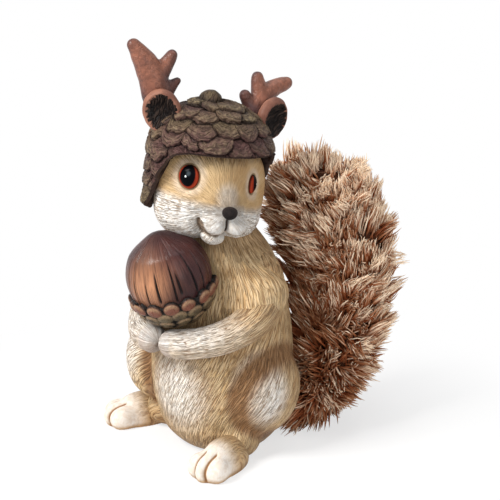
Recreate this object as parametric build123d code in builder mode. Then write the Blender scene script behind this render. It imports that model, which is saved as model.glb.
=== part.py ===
"""A sitting squirrel ornament in cast resin, with a stuffed plush tail.

The squirrel faces -Y and sits on a flat base at Z = 0, with its own left side towards +X.
Its head is turned to its left and wears an acorn-cap hat with two ears and two antlers.
Both arms hold a large acorn against the chest. The tail is a sewn pile sleeve with a wire
core, held by a plug in the back, and it can be bent away from the back at its root.
All sizes are millimetres.
"""

import math
import os

from build123d import *

# Fits between pieces
glue_gap = 0.15
reach = 80.0
bead_seam = (35.0, 20.0, 0.0)

# Torso: a pear-shaped casting, given as level sections
torso_height = 104.0
belly_width = 66.0
belly_depth = 63.0
belly_forward = 4.0
torso_level_shares = (0.0, 0.05, 0.19, 0.36, 0.53, 0.63, 0.77, 0.89, 1.0)
torso_girth_shares = (0.62, 0.77, 0.94, 1.0, 0.955, 0.88, 0.75, 0.58, 0.42)
torso_forward_shares = (0.8, 0.9, 1.0, 1.0, 0.8, 0.5, 0.2, 0.6, 1.4)
torso_wall = 6.5
cavity_top = 74.0
cavity_level_shares = (0.0, 0.2, 0.45, 0.7, 1.0)
cavity_girth_shares = (0.7, 0.96, 1.0, 0.88, 0.5)
cavity_forward_shares = (1.0, 1.0, 1.0, 0.9, 0.6)

# Haunches and heels: stretched balls on the sides of the torso and low down in front of them
haunch_radii = (14.5, 18.5, 21.5)
left_haunch_place = (24.2, -1.5, 30.5)
right_haunch_place = (-28.0, -15.0, 34.5)
heel_radii = (8.2, 9.8, 8.6)
left_heel_place = (22.5, -13.8, 8.4)
right_heel_place = (-27.5, -14.0, 8.4)

# Feet: flat underneath, three toes each
foot_radii = (8.4, 15.6, 11.8)
foot_sink = 2.4
toe_radius = 4.0
toe_height = 3.9
toe_spacing = 5.4
toe_reach = 13.4
toe_side_reach = 11.4
left_foot_place = (26.0, -27.4)
left_foot_turn = 12.0
right_foot_place = (-37.0, -20.6)
right_foot_turn = -22.0

# Head: a skull and a narrower face, with a ruff behind each cheek, in the head's own frame.
# The face hangs a little to one side, so the two sides have places of their own.
head_place = (-1.0, -9.0, 122.0)
head_turn = 65.0
head_tilt = 8.0
skull_radii = (23.4, 20.5, 26.0)
skull_place = (-0.2, 3.0, 1.0)
face_radii = (15.0, 17.8, 21.0)
face_place = (-0.4, -4.5, 0.0)
ruff_radii = (7.6, 8.5, 15.0)
left_ruff_place = (17.4, 0.2, -3.0)
right_ruff_place = (-17.0, -0.6, -3.0)
cheek_radii = (12.8, 14.5, 11.8)
left_cheek_place = (9.4, -4.5, -13.0)
right_cheek_place = (-10.5, -4.0, -13.4)
snout_radii = (8.2, 12.0, 7.4)
snout_place = (0.8, -14.5, -8.6)
lip_radii = (5.5, 6.2, 4.5)
left_lip_place = (6.0, -22.0, -14.8)
right_lip_place = (-3.9, -21.8, -14.4)
chin_radii = (5.0, 6.0, 3.6)
chin_place = (-2.0, -17.6, -20.4)
head_cavity_radii = (13.0, 12.0, 13.5)
head_cavity_place = (0.0, 2.5, 8.0)
nose_radii = (3.5, 3.0, 3.1)
nose_place = (0.9, -27.4, -7.9)
eye_radii = (4.8, 3.0, 5.1)
left_eye_place = (13.2, -13.2, 1.9)
right_eye_place = (-13.6, -14.2, 3.2)
eye_splay = 46.0

# Acorn-cap hat, in the head's frame
hat_radii = (26.9, 26.9, 22.4)
hat_centre = (-1.0, 1.5, 11.5)
hat_skirt_height = 70.0
brim_turn = 12.0
brim_front_height = 14.8
brim_side_height = -13.5
brim_front_corner = -10.2
brim_side_corner = 4.6
stem_place = (-3.0, 4.0, 32.5)
stem_radius = 4.4
stem_height = 5.0
scale_rows = 5
scale_first_fall = 20.0
scale_row_fall = 16.5
scale_row_turn = 0.37
scale_width = 10.5
scale_radius = 6.4
scale_sink = 4.4
skirt_rows = 3
skirt_row_drop = 6.6

# Ears: dished discs that come through the hat
ear_radii = (8.2, 4.6, 9.4)
ear_dish_share = 0.78
ear_dish_forward = 2.8
ear_splay = 28.0
ear_lean = 18.0
left_ear_place = (24.6, 1.0, 28.6)
right_ear_place = (-25.3, 1.0, 28.4)

# Antlers: a tapering beam with two tines, as (x, y, z, radius) in the head's frame
right_beam = (
    (-20.5, 8.0, 23.5, 6.2),
    (-25.4, 8.0, 32.5, 6.5),
    (-28.8, 8.0, 41.0, 6.2),
    (-33.0, 8.0, 48.0, 4.8),
    (-38.0, 8.0, 53.8, 2.6),
)
right_tines = (
    ((-27.8, 8.0, 40.5, 4.6), (-21.6, 8.0, 51.0, 2.2)),
    ((-25.0, 8.0, 32.8, 4.8), (-17.6, 8.0, 40.0, 1.8)),
)
left_beam = (
    (16.0, 9.0, 22.5, 5.2),
    (19.8, 10.0, 30.0, 5.2),
    (23.4, 12.0, 35.6, 4.6),
    (28.6, 14.5, 39.2, 4.0),
    (35.2, 17.0, 41.6, 2.8),
)
left_tines = (
    ((22.4, 11.5, 34.0, 4.2), (20.2, 13.0, 43.6, 2.8)),
    ((19.4, 9.5, 28.5, 4.2), (14.2, 9.5, 35.8, 2.6)),
)

# Acorn: nut and cup on one axis
acorn_place = (0.5, -34.8, 84.7)
acorn_lean = 14.0
acorn_roll = 6.0
nut_radius = 18.4
nut_top = 20.4
nut_shoulder_share = 0.72
nut_shoulder_rise_share = 0.68
nut_point_slope = 0.35
nut_low_share = 0.71
nut_seam_turn = 90.0
cup_rim_radius = 19.6
cup_depth = 22.6
cup_rim_drop = 6.4
cup_wall = 3.0
knob_count = 17
knob_falls = (25.0, 42.0, 59.0)
knob_radius = 3.6
knob_sink = 2.2
acorn_pin_share = 0.68

# Arms, as (x, y, z, radius) from shoulder to paw
left_arm_line = (
    (9.0, 4.0, 89.0, 5.0),
    (18.5, 2.0, 83.5, 8.4),
    (27.0, -3.5, 75.5, 9.4),
    (30.0, -12.0, 68.0, 9.0),
    (26.5, -24.0, 62.2, 8.2),
    (17.5, -33.5, 58.6, 7.4),
    (9.5, -38.6, 57.2, 6.6),
    (5.5, -40.4, 57.0, 5.8),
)
right_arm_line = (
    (-9.0, 3.0, 88.0, 5.0),
    (-20.5, -1.5, 82.0, 8.4),
    (-26.5, -9.0, 72.0, 8.4),
    (-27.5, -19.0, 64.0, 7.6),
    (-23.5, -28.0, 58.5, 7.0),
    (-16.0, -35.0, 56.0, 6.6),
    (-9.5, -38.6, 55.2, 5.8),
)
finger_count = 4
finger_radius = 2.2
finger_length = 4.5
finger_spread = 2.7

# Pins between castings
pin_radius = 1.5
pin_length = 14.0
dowel_radius = 3.0
dowel_length = 26.0
dowel_in_head = 8.0
foot_pin_height = 6.0

# Underside vent and its plug
vent_radius = 7.0
vent_place = (0.0, 6.0)
vent_recess = 0.6
vent_length = 5.0

# Tail: sections along a bent axis, as (x, y, z, half width, half depth)
tail_line = (
    (16.6, 29.6, 13.0, 10.0, 8.5),
    (20.0, 37.5, 18.0, 15.5, 12.5),
    (21.5, 44.0, 27.5, 19.5, 16.5),
    (20.5, 50.0, 41.0, 24.5, 20.0),
    (18.5, 55.0, 60.0, 29.5, 23.5),
    (15.5, 55.5, 81.0, 32.5, 25.0),
    (12.0, 52.0, 98.0, 33.0, 26.0),
    (10.0, 50.0, 110.5, 29.5, 24.0),
    (9.5, 49.5, 119.5, 22.5, 19.5),
    (9.5, 49.5, 126.0, 12.0, 11.0),
)
sleeve_share = 0.56
sleeve_thickness = 1.2
sleeve_sections = 9
wire_radius = 1.4
wire_sections = 8

# Plug that holds the tail in the back, with a domed end that the root bends over
root_place = (13.5, 25.0, 12.0)
root_turn = -24.0
root_rise = 16.0
plug_radius = 5.0
plug_length = 16.0
dome_radius = 6.0
root_clearance = 0.35


def placed(place, turns=(0, 0, 0)):
    """A place, with turns about X, Y and Z in degrees, X first."""
    across, along, up = turns
    return (
        Location(place)
        * Location((0, 0, 0), (0, 0, up))
        * Location((0, 0, 0), (0, along, 0))
        * Location((0, 0, 0), (across, 0, 0))
    )


def ball(radii, place, turns=(0, 0, 0), seam=(0, 0, 0)):
    """A ball of radius 1 stretched to three radii, with its seam turned out of the way."""
    with BuildPart() as shape:
        Sphere(1, rotation=seam)
        scale(by=radii)
    return shape.part.moved(placed(place, turns))


def frames_along(points):
    """Planes across a path, each carried on from the one before without twist."""
    planes = []
    across = Vector(1, 0, 0)
    for index, point in enumerate(points):
        before = points[max(index - 1, 0)]
        after = points[min(index + 1, len(points) - 1)]
        along = (after - before).normalized()
        across = (across - along * across.dot(along)).normalized()
        planes.append(Plane(point, x_dir=across, z_dir=along))
    return planes


def limb(line):
    """A round limb through points that each carry a radius, closed by a ball at its end."""
    points = [Vector(*stop[:3]) for stop in line]
    with BuildPart() as shape:
        for plane, stop in zip(frames_along(points), line):
            with BuildSketch(plane):
                Circle(stop[3])
        loft()
        with Locations(points[-1]):
            Sphere(line[-1][3])
    return shape.part


def tail_form(line, girth_share, thickness):
    """The tail's sections at a share of their girth, less a thickness."""
    points = [Vector(*stop[:3]) for stop in line]
    with BuildPart() as shape:
        for plane, stop in zip(frames_along(points), line):
            with BuildSketch(plane):
                Ellipse(stop[3] * girth_share - thickness, stop[4] * girth_share - thickness)
        loft()
    return shape.part


def pear(level_shares, girth_shares, forward_shares, size, wall):
    """Level ellipses lofted into a pear, at a wall's thickness inside the outer size."""
    width, depth, height = size
    with BuildPart() as shape:
        for level, girth, forward in zip(level_shares, girth_shares, forward_shares):
            with BuildSketch(Plane.XY.offset(wall + level * (height - wall))):
                with Locations((0, -belly_forward * forward)):
                    Ellipse(girth * (width / 2 - wall), girth * (depth / 2 - wall))
        loft()
    return shape.part


def pin(centre, towards, length, radius):
    """A round pin about its centre, along a direction."""
    with BuildPart() as shape:
        with BuildSketch(Plane(Vector(*centre), z_dir=Vector(*towards))):
            Circle(radius)
        extrude(amount=length / 2, both=True)
    return shape.part


def pin_hole(centre, towards, length, radius):
    """The hole for a pin, larger by the glue gap all round."""
    return pin(centre, towards, length + 2 * glue_gap, radius + glue_gap)


def ring_places(count, radius, height, start_turn):
    """Places on a level ring about the Z axis."""
    step = 2 * math.pi / count
    angles = [start_turn + step * index for index in range(count)]
    return [Vector(radius * math.cos(turn), radius * math.sin(turn), height) for turn in angles]


def paw(line):
    """An arm with its fingers: short tapering limbs spread across the end of the paw."""
    end, before = Vector(*line[-1][:3]), Vector(*line[-2][:3])
    along = (end - before).normalized()
    down = Vector(0, 0, -1)
    across = (down - along * down.dot(along)).normalized()
    with BuildPart() as shape:
        add(limb(line))
        for index in range(finger_count):
            shift = across * (index - (finger_count - 1) / 2) * finger_spread
            start = end + shift
            tip = start + along * finger_length
            add(limb(((*start, finger_radius), (*tip, finger_radius))))
    return shape.part


head_frame = placed(head_place, (0, head_tilt, head_turn))
acorn_frame = placed(acorn_place, (acorn_lean, -acorn_roll, 0))
root_frame = placed(root_place, (0, 0, root_turn)) * placed((0, 0, 0), (root_rise, 0, 0))
upright = (0, 0, 1)

# Torso with both haunches and heels, standing flat on Z = 0
torso_size = (belly_width, belly_depth, torso_height)
with BuildPart() as torso_form:
    add(pear(torso_level_shares, torso_girth_shares, torso_forward_shares, torso_size, 0))
    for place in (left_haunch_place, right_haunch_place):
        add(ball(haunch_radii, place))
    for place in (left_heel_place, right_heel_place):
        add(ball(heel_radii, place))
    split(bisect_by=Plane.XY, keep=Keep.TOP)

cavity_size = (belly_width, belly_depth, cavity_top)
cavity = pear(
    cavity_level_shares, cavity_girth_shares, cavity_forward_shares, cavity_size, torso_wall
)

# Head: skull, face, ruffs, cheeks, snout, lip pads and chin
with BuildPart() as head_form:
    add(ball(skull_radii, skull_place))
    add(ball(face_radii, face_place))
    for place in (left_ruff_place, right_ruff_place):
        add(ball(ruff_radii, place))
    for place in (left_cheek_place, right_cheek_place):
        add(ball(cheek_radii, place))
    add(ball(snout_radii, snout_place))
    for place in (left_lip_place, right_lip_place):
        add(ball(lip_radii, place))
    add(ball(chin_radii, chin_place))

eye_forms = {}
for name, side, place in (("left", 1, left_eye_place), ("right", -1, right_eye_place)):
    eye_forms[name] = ball(eye_radii, place, (0, 0, side * eye_splay), bead_seam)
nose_form = ball(nose_radii, nose_place, seam=bead_seam)

# Ears
ear_forms = {}
ear_spots = {}
dish_radii = tuple(radius * ear_dish_share for radius in ear_radii)
for name, side, place in (("left", 1, left_ear_place), ("right", -1, right_ear_place)):
    with BuildPart() as ear_form:
        add(ball(ear_radii, (0, 0, 0)))
        add(ball(dish_radii, (0, -ear_dish_forward, 0)), mode=Mode.SUBTRACT)
    ear_spots[name] = placed(place, (0, side * ear_lean, side * ear_splay))
    ear_forms[name] = ear_form.part.moved(ear_spots[name])

# Antlers
antler_forms = {}
for name, beam, tines in (("left", left_beam, left_tines), ("right", right_beam, right_tines)):
    with BuildPart() as antler_form:
        add(limb(beam))
        for branch in tines:
            add(limb(branch))
        add(ball(ear_radii, (0, 0, 0)).moved(ear_spots[name]), mode=Mode.SUBTRACT)
    antler_forms[name] = antler_form.part

# Hat: a cap cut to its brim, with rows of rounded scales and a stem
with BuildPart() as brim_block:
    with BuildSketch(Plane.YZ):
        with BuildLine():
            Polyline(
                (-reach, brim_front_height),
                (brim_front_corner, brim_front_height),
                (brim_side_corner, brim_side_height),
                (reach, brim_side_height),
                (reach, reach),
                (-reach, reach),
                close=True,
            )
        make_face()
    extrude(amount=reach, both=True)

scale_places = []
for row in range(scale_rows):
    fall = math.radians(scale_first_fall + row * scale_row_fall)
    around = 2 * math.pi * hat_radii[0] * math.sin(fall)
    count = round(around / scale_width)
    for spot in ring_places(count, math.sin(fall), math.cos(fall), row * scale_row_turn):
        scale_places.append(
            Vector(
                hat_centre[0] + spot.X * (hat_radii[0] - scale_sink),
                hat_centre[1] + spot.Y * (hat_radii[1] - scale_sink),
                hat_centre[2] + spot.Z * (hat_radii[2] - scale_sink),
            )
        )

# Rows below the crown, kept only where the brim is lower than they are
skirt_count = round(2 * math.pi * hat_radii[0] / scale_width)
slope = (brim_front_height - brim_side_height) / (brim_side_corner - brim_front_corner)
for row in range(skirt_rows):
    height = hat_centre[2] - (row + 1) * skirt_row_drop
    line = brim_front_corner + (brim_front_height - height) / slope
    turned = math.radians(brim_turn)
    for spot in ring_places(skirt_count, hat_radii[0] - scale_sink, height, row * scale_row_turn):
        place = Vector(hat_centre[0] + spot.X, hat_centre[1] + spot.Y, height)
        if place.Y * math.cos(turned) - place.X * math.sin(turned) > line:
            scale_places.append(place)

with BuildPart() as hat_skirt:
    add(ball((*hat_radii[:2], hat_skirt_height), hat_centre))
    split(bisect_by=Plane.XY.offset(hat_centre[2]), keep=Keep.BOTTOM)

with BuildPart() as hat_form:
    add(ball(hat_radii, hat_centre))
    add(hat_skirt.part)
    with Locations(*scale_places):
        Sphere(scale_radius)
    add(ball((stem_radius, stem_radius, stem_height), stem_place))
    add(brim_block.part.moved(placed((0, 0, 0), (0, 0, brim_turn))), mode=Mode.INTERSECT)

# Nut and cup of the acorn on one axis
nut_bottom = cup_depth - cup_wall
with BuildPart() as nut_form:
    with BuildSketch(Plane.XZ):
        with BuildLine():
            Spline(
                (0, -nut_bottom),
                (nut_radius * nut_low_share, -nut_bottom * nut_low_share),
                (nut_radius, 0),
                (nut_radius * nut_shoulder_share, nut_top * nut_shoulder_rise_share),
                (0, nut_top),
                tangents=((1, 0), (-1, nut_point_slope)),
            )
            Line((0, nut_top), (0, -nut_bottom))
        make_face()
    revolve(axis=Axis.Z)

with BuildPart() as cup_form:
    with BuildSketch(Plane.XZ):
        Ellipse(cup_rim_radius, cup_depth)
        with Locations((0, 0)):
            Rectangle(reach, 2 * reach, align=(Align.MAX, Align.CENTER), mode=Mode.SUBTRACT)
        with Locations((0, -cup_rim_drop)):
            Rectangle(reach, reach, align=(Align.MIN, Align.MIN), mode=Mode.SUBTRACT)
    revolve(axis=Axis.Z)
    for row, knob_fall in enumerate(knob_falls):
        fall = math.radians(knob_fall)
        ring_radius = (cup_rim_radius - knob_sink) * math.cos(fall)
        ring_height = -(cup_depth - knob_sink) * math.sin(fall)
        count = round(knob_count * math.cos(fall))
        with Locations(*ring_places(count, ring_radius, ring_height, row * scale_row_turn)):
            Sphere(knob_radius)

# The room that the acorn takes up, which the arms and paws close round
knob_rise = knob_radius - knob_sink
acorn_radii = (cup_rim_radius + knob_rise, cup_rim_radius + knob_rise, cup_depth + knob_rise)
acorn_solid = ball(acorn_radii, (0, 0, 0)).moved(acorn_frame)

head_solid = head_form.part.moved(head_frame)
nut_solid = nut_form.part.moved(acorn_frame * Location((0, 0, 0), (0, 0, nut_seam_turn)))
cup_solid = cup_form.part.moved(acorn_frame)

# Pins: where each one sits and where it points
dowel_middle = torso_height + dowel_in_head - dowel_length / 2
dowel_spot = ((*head_place[:2], dowel_middle), upright)
antler_spots = {}
for name, beam in (("left", left_beam), ("right", right_beam)):
    root = (head_frame * Location(beam[0][:3])).position
    heading = (head_frame * Location(beam[1][:3])).position - root
    antler_spots[name] = (tuple(root), tuple(heading))
arm_spots = {}
for name, line in (("left", left_arm_line), ("right", right_arm_line)):
    shoulder, elbow = Vector(*line[0][:3]), Vector(*line[1][:3])
    arm_spots[name] = (tuple(shoulder), tuple(elbow - shoulder))
foot_spots = {}
for name, place, heel in (
    ("left", left_foot_place, left_heel_place[:2]),
    ("right", right_foot_place, right_heel_place[:2]),
):
    middle = (Vector(*place, foot_pin_height) + Vector(*heel, foot_pin_height)) / 2
    foot_spots[name] = (tuple(middle), tuple(Vector(*heel, 0) - Vector(*place, 0)))
chest_line = Vector(0, *acorn_place[1:]) - Vector(0, 0, acorn_place[2])
acorn_spot = (
    (acorn_place[0], acorn_place[1] * acorn_pin_share, acorn_place[2]),
    tuple(chest_line),
)

# Head, its eyes and its nose
with BuildPart() as head:
    add(head_solid)
    add(ball(head_cavity_radii, head_cavity_place).moved(head_frame), mode=Mode.SUBTRACT)
    add(torso_form.part, mode=Mode.SUBTRACT)
    for form in (*eye_forms.values(), nose_form):
        add(form.moved(head_frame), mode=Mode.SUBTRACT)
    add(pin_hole(*dowel_spot, dowel_length, dowel_radius), mode=Mode.SUBTRACT)
    for spot in antler_spots.values():
        add(pin_hole(*spot, pin_length, pin_radius), mode=Mode.SUBTRACT)
with BuildPart() as left_eye:
    add(eye_forms["left"].moved(head_frame))
with BuildPart() as right_eye:
    add(eye_forms["right"].moved(head_frame))
with BuildPart() as nose:
    add(nose_form.moved(head_frame))

# Hat, ears and antlers
with BuildPart() as hat_in_place:
    add(hat_form.part)
    for form in (*antler_forms.values(), *ear_forms.values(), *eye_forms.values(), head_form.part):
        add(form, mode=Mode.SUBTRACT)
with BuildPart() as hat:
    add(hat_in_place.part.moved(head_frame))
    for spot in antler_spots.values():
        add(pin_hole(*spot, pin_length, pin_radius), mode=Mode.SUBTRACT)
with BuildPart() as left_ear:
    add(ear_forms["left"].moved(head_frame))
    add(head_solid, mode=Mode.SUBTRACT)
with BuildPart() as right_ear:
    add(ear_forms["right"].moved(head_frame))
    add(head_solid, mode=Mode.SUBTRACT)
with BuildPart() as left_antler:
    add(antler_forms["left"].moved(head_frame))
    add(head_solid, mode=Mode.SUBTRACT)
    add(pin_hole(*antler_spots["left"], pin_length, pin_radius), mode=Mode.SUBTRACT)
with BuildPart() as right_antler:
    add(antler_forms["right"].moved(head_frame))
    add(head_solid, mode=Mode.SUBTRACT)
    add(pin_hole(*antler_spots["right"], pin_length, pin_radius), mode=Mode.SUBTRACT)

# Acorn, hollowed at the back to fit the chest
with BuildPart() as acorn_nut:
    add(nut_solid)
    add(torso_form.part, mode=Mode.SUBTRACT)
    add(head_solid, mode=Mode.SUBTRACT)
    add(pin_hole(*acorn_spot, pin_length, pin_radius), mode=Mode.SUBTRACT)
with BuildPart() as acorn_cup:
    add(cup_solid)
    add(nut_solid, mode=Mode.SUBTRACT)
    add(torso_form.part, mode=Mode.SUBTRACT)

# Arms, which end on the shoulders and close round the cup
left_arm_form = paw(left_arm_line)
with BuildPart() as left_arm:
    add(left_arm_form)
    add(acorn_solid, mode=Mode.SUBTRACT)
    add(torso_form.part, mode=Mode.SUBTRACT)
    add(head_solid, mode=Mode.SUBTRACT)
    add(pin_hole(*arm_spots["left"], pin_length, pin_radius), mode=Mode.SUBTRACT)
with BuildPart() as right_arm:
    add(paw(right_arm_line))
    add(acorn_solid, mode=Mode.SUBTRACT)
    add(left_arm_form, mode=Mode.SUBTRACT)
    add(torso_form.part, mode=Mode.SUBTRACT)
    add(head_solid, mode=Mode.SUBTRACT)
    add(pin_hole(*arm_spots["right"], pin_length, pin_radius), mode=Mode.SUBTRACT)

# Feet
foot_solids = {}
for name, place, turn in (
    ("left", left_foot_place, left_foot_turn),
    ("right", right_foot_place, right_foot_turn),
):
    with BuildPart() as foot_form:
        add(ball(foot_radii, (0, 0, foot_sink)))
        for step in (-1, 0, 1):
            toe_y = -toe_reach if step == 0 else -toe_side_reach
            with Locations((step * toe_spacing, toe_y, toe_height)):
                Sphere(toe_radius)
    with BuildPart() as foot_solid:
        add(foot_form.part.moved(placed((*place, 0), (0, 0, turn))))
        split(bisect_by=Plane.XY, keep=Keep.TOP)
        add(torso_form.part, mode=Mode.SUBTRACT)
        add(pin_hole(*foot_spots[name], pin_length, pin_radius), mode=Mode.SUBTRACT)
    foot_solids[name] = foot_solid.part
with BuildPart() as left_foot:
    add(foot_solids["left"])
with BuildPart() as right_foot:
    add(foot_solids["right"])

# Pins as pieces
with BuildPart() as neck_dowel:
    add(pin(*dowel_spot, dowel_length, dowel_radius))
with BuildPart() as antler_pins:
    for spot in antler_spots.values():
        add(pin(*spot, pin_length, pin_radius))
with BuildPart() as arm_pins:
    for spot in arm_spots.values():
        add(pin(*spot, pin_length, pin_radius))
with BuildPart() as foot_pins:
    for spot in foot_spots.values():
        add(pin(*spot, pin_length, pin_radius))
with BuildPart() as acorn_pin:
    add(pin(*acorn_spot, pin_length, pin_radius))
with BuildPart() as base_plug:
    with Locations((*vent_place, vent_recess)):
        Cylinder(vent_radius, vent_length, align=(Align.CENTER, Align.CENTER, Align.MIN))

# Tail plug: a shank in the back with a domed end outside
with BuildPart() as plug_shape:
    Sphere(dome_radius)
    with Locations(Location((0, 0, 0), (90, 0, 0))):
        Cylinder(plug_radius, plug_length, align=(Align.CENTER, Align.CENTER, Align.MIN))
with BuildPart() as tail_plug:
    add(plug_shape.part.moved(root_frame))
with BuildPart() as plug_room:
    Sphere(dome_radius + glue_gap)
    with Locations(Location((0, 0, 0), (90, 0, 0))):
        Cylinder(
            plug_radius + glue_gap,
            plug_length + glue_gap,
            align=(Align.CENTER, Align.CENTER, Align.MIN),
        )
with BuildPart() as root_room:
    with Locations(root_frame):
        Sphere(dome_radius + root_clearance)

# Torso as cast: hollow, with a vent and the holes for the pins
with BuildPart() as torso:
    add(torso_form.part)
    add(cavity, mode=Mode.SUBTRACT)
    with Locations((*vent_place, 0)):
        Cylinder(
            vent_radius + glue_gap,
            torso_wall + vent_length,
            align=(Align.CENTER, Align.CENTER, Align.MIN),
            mode=Mode.SUBTRACT,
        )
    add(plug_room.part.moved(root_frame), mode=Mode.SUBTRACT)
    add(pin_hole(*dowel_spot, dowel_length, dowel_radius), mode=Mode.SUBTRACT)
    for spot in (*arm_spots.values(), *foot_spots.values(), acorn_spot):
        add(pin_hole(*spot, pin_length, pin_radius), mode=Mode.SUBTRACT)

# Tail: pile, woven sleeve, stuffing and wire, one inside the other
outer = tail_form(tail_line, 1, 0)
sleeve_line = tail_line[:sleeve_sections]
middle = tail_form(sleeve_line, sleeve_share, 0)
inner = tail_form(sleeve_line, sleeve_share, sleeve_thickness)
wire_line = tail_line[:wire_sections]
with BuildPart() as wire_form:
    for plane in frames_along([Vector(*stop[:3]) for stop in wire_line]):
        with BuildSketch(plane):
            Circle(wire_radius)
    loft()
with BuildPart() as tail_fur:
    add(outer)
    add(middle, mode=Mode.SUBTRACT)
    add(root_room.part, mode=Mode.SUBTRACT)
with BuildPart() as tail_sleeve:
    add(middle)
    add(inner, mode=Mode.SUBTRACT)
    add(root_room.part, mode=Mode.SUBTRACT)
with BuildPart() as tail_stuffing:
    add(inner)
    add(wire_form.part, mode=Mode.SUBTRACT)
    add(root_room.part, mode=Mode.SUBTRACT)
with BuildPart() as tail_wire:
    add(wire_form.part)
    add(root_room.part, mode=Mode.SUBTRACT)

# Every piece under its own name
pieces = {
    "torso": torso,
    "head": head,
    "left_eye": left_eye,
    "right_eye": right_eye,
    "nose": nose,
    "hat": hat,
    "left_ear": left_ear,
    "right_ear": right_ear,
    "left_antler": left_antler,
    "right_antler": right_antler,
    "acorn_nut": acorn_nut,
    "acorn_cup": acorn_cup,
    "left_arm": left_arm,
    "right_arm": right_arm,
    "left_foot": left_foot,
    "right_foot": right_foot,
    "neck_dowel": neck_dowel,
    "antler_pins": antler_pins,
    "arm_pins": arm_pins,
    "foot_pins": foot_pins,
    "acorn_pin": acorn_pin,
    "base_plug": base_plug,
    "tail_plug": tail_plug,
    "tail_fur": tail_fur,
    "tail_sleeve": tail_sleeve,
    "tail_stuffing": tail_stuffing,
    "tail_wire": tail_wire,
}
os.makedirs("parts", exist_ok=True)
for name, piece in pieces.items():
    solids = piece.part.solids()
    box = piece.part.bounding_box()
    print(
        f"{name:14s} solids {len(solids)} valid {piece.part.is_valid} "
        f"volume {piece.part.volume:9.0f} low {box.min.Z:6.1f} high {box.max.Z:6.1f}"
    )
    piece.part.label = name
    export_step(piece.part, f"parts/{name}.step")
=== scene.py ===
import math

import bpy
import numpy as np
from bpy.props import FloatProperty, FloatVectorProperty, IntProperty, PointerProperty
from mathutils import Matrix, Vector


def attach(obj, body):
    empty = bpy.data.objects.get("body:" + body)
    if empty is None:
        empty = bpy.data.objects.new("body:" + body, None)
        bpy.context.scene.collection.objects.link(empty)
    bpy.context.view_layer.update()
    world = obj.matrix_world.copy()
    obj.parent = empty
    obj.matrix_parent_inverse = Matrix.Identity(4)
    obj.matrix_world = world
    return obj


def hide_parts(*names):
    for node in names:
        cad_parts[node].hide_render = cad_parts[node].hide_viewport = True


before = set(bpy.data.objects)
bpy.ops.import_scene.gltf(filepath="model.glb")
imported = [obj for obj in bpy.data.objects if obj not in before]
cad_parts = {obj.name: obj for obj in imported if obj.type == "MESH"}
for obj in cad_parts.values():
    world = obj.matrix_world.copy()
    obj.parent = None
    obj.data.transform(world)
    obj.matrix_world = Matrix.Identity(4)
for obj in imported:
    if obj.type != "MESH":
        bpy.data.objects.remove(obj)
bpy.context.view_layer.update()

bl_info = {
    "name": "Squirrel ornament",
    "version": (1, 0, 0),
    "blender": (4, 5, 0),
    "location": "3D View > Sidebar > Squirrel",
    "description": "A sitting squirrel ornament with an acorn-cap hat and a plush tail",
    "category": "Add Mesh",
}

MM = 0.001

# A tube's round ends: rings in each, and the radius of the smallest one
CAP_RINGS = 6
SMALLEST_RING = 0.02

# The head's and the acorn's own frames: their middles, and how far they are turned and tilted
HEAD_MIDDLE = np.array([-1.0, -9.0, 122.0])
HEAD_TURN = math.radians(65.0)
HEAD_TILT = math.radians(8.0)
ACORN_MIDDLE = np.array([0.5, -34.8, 84.7])
ACORN_LEAN = math.radians(14.0)
ACORN_ROLL = math.radians(-6.0)


# Turning between frames
def turn_about(axis, angle):
    """The matrix that turns a row of points about one axis."""
    return np.array(Matrix.Rotation(angle, 3, axis))


HEAD_AXES = turn_about("Z", HEAD_TURN) @ turn_about("Y", HEAD_TILT)
ACORN_AXES = turn_about("Y", ACORN_ROLL) @ turn_about("X", ACORN_LEAN)


def out_of_head(points):
    """Points in the head's frame, put where the head is."""
    return points @ HEAD_AXES.T + HEAD_MIDDLE


def out_of_acorn(points):
    """Points in the acorn's frame, put where the acorn is."""
    return points @ ACORN_AXES.T + ACORN_MIDDLE


# Noise and blending on whole arrays
def ease(low, high, value):
    """0 below low, 1 above high, with a smooth cubic between."""
    share = np.clip((value - low) / (high - low), 0, 1)
    return share * share * (3 - 2 * share)


def lattice(across, along, seed):
    """A fixed random number from 0 to 1 for each pair of whole numbers, by mixing their bits."""
    mixed = across.astype(np.int64) * 374761393 + along.astype(np.int64) * 668265263 + seed * 974634777
    mixed = (mixed ^ (mixed >> 13)) * 1274126177 & 0x7FFFFFFF
    return ((mixed ^ (mixed >> 16)) & 0xFFFF) / 65535.0


def noise(across, along, seed=1):
    """Smooth noise from -1 to 1: lattice values blended with a cubic in both directions."""
    column, row = np.floor(across), np.floor(along)
    x, y = across - column, along - row
    x, y = x * x * (3 - 2 * x), y * y * (3 - 2 * y)
    low = lattice(column, row, seed) * (1 - x) + lattice(column + 1, row, seed) * x
    high = lattice(column, row + 1, seed) * (1 - x) + lattice(column + 1, row + 1, seed) * x
    return (low * (1 - y) + high * y) * 2 - 1


def curve_through(stations, values, at):
    """A smooth curve through values at stations: cubic pieces with slopes from the neighbours."""
    stations, values = np.asarray(stations, float), np.asarray(values, float)
    slopes = np.gradient(values, stations, axis=0)
    at = np.clip(at, stations[0], stations[-1])
    index = np.clip(np.searchsorted(stations, at) - 1, 0, len(stations) - 2)
    span = stations[index + 1] - stations[index]
    t = (at - stations[index]) / span
    if values.ndim > 1:
        t, span = t[..., None], span[..., None]
    start, end = values[index], values[index + 1]
    out, into = slopes[index] * span, slopes[index + 1] * span
    return (
        start * (2 * t**3 - 3 * t**2 + 1)
        + out * (t**3 - 2 * t**2 + t)
        + end * (3 * t**2 - 2 * t**3)
        + into * (t**3 - t**2)
    )


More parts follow.
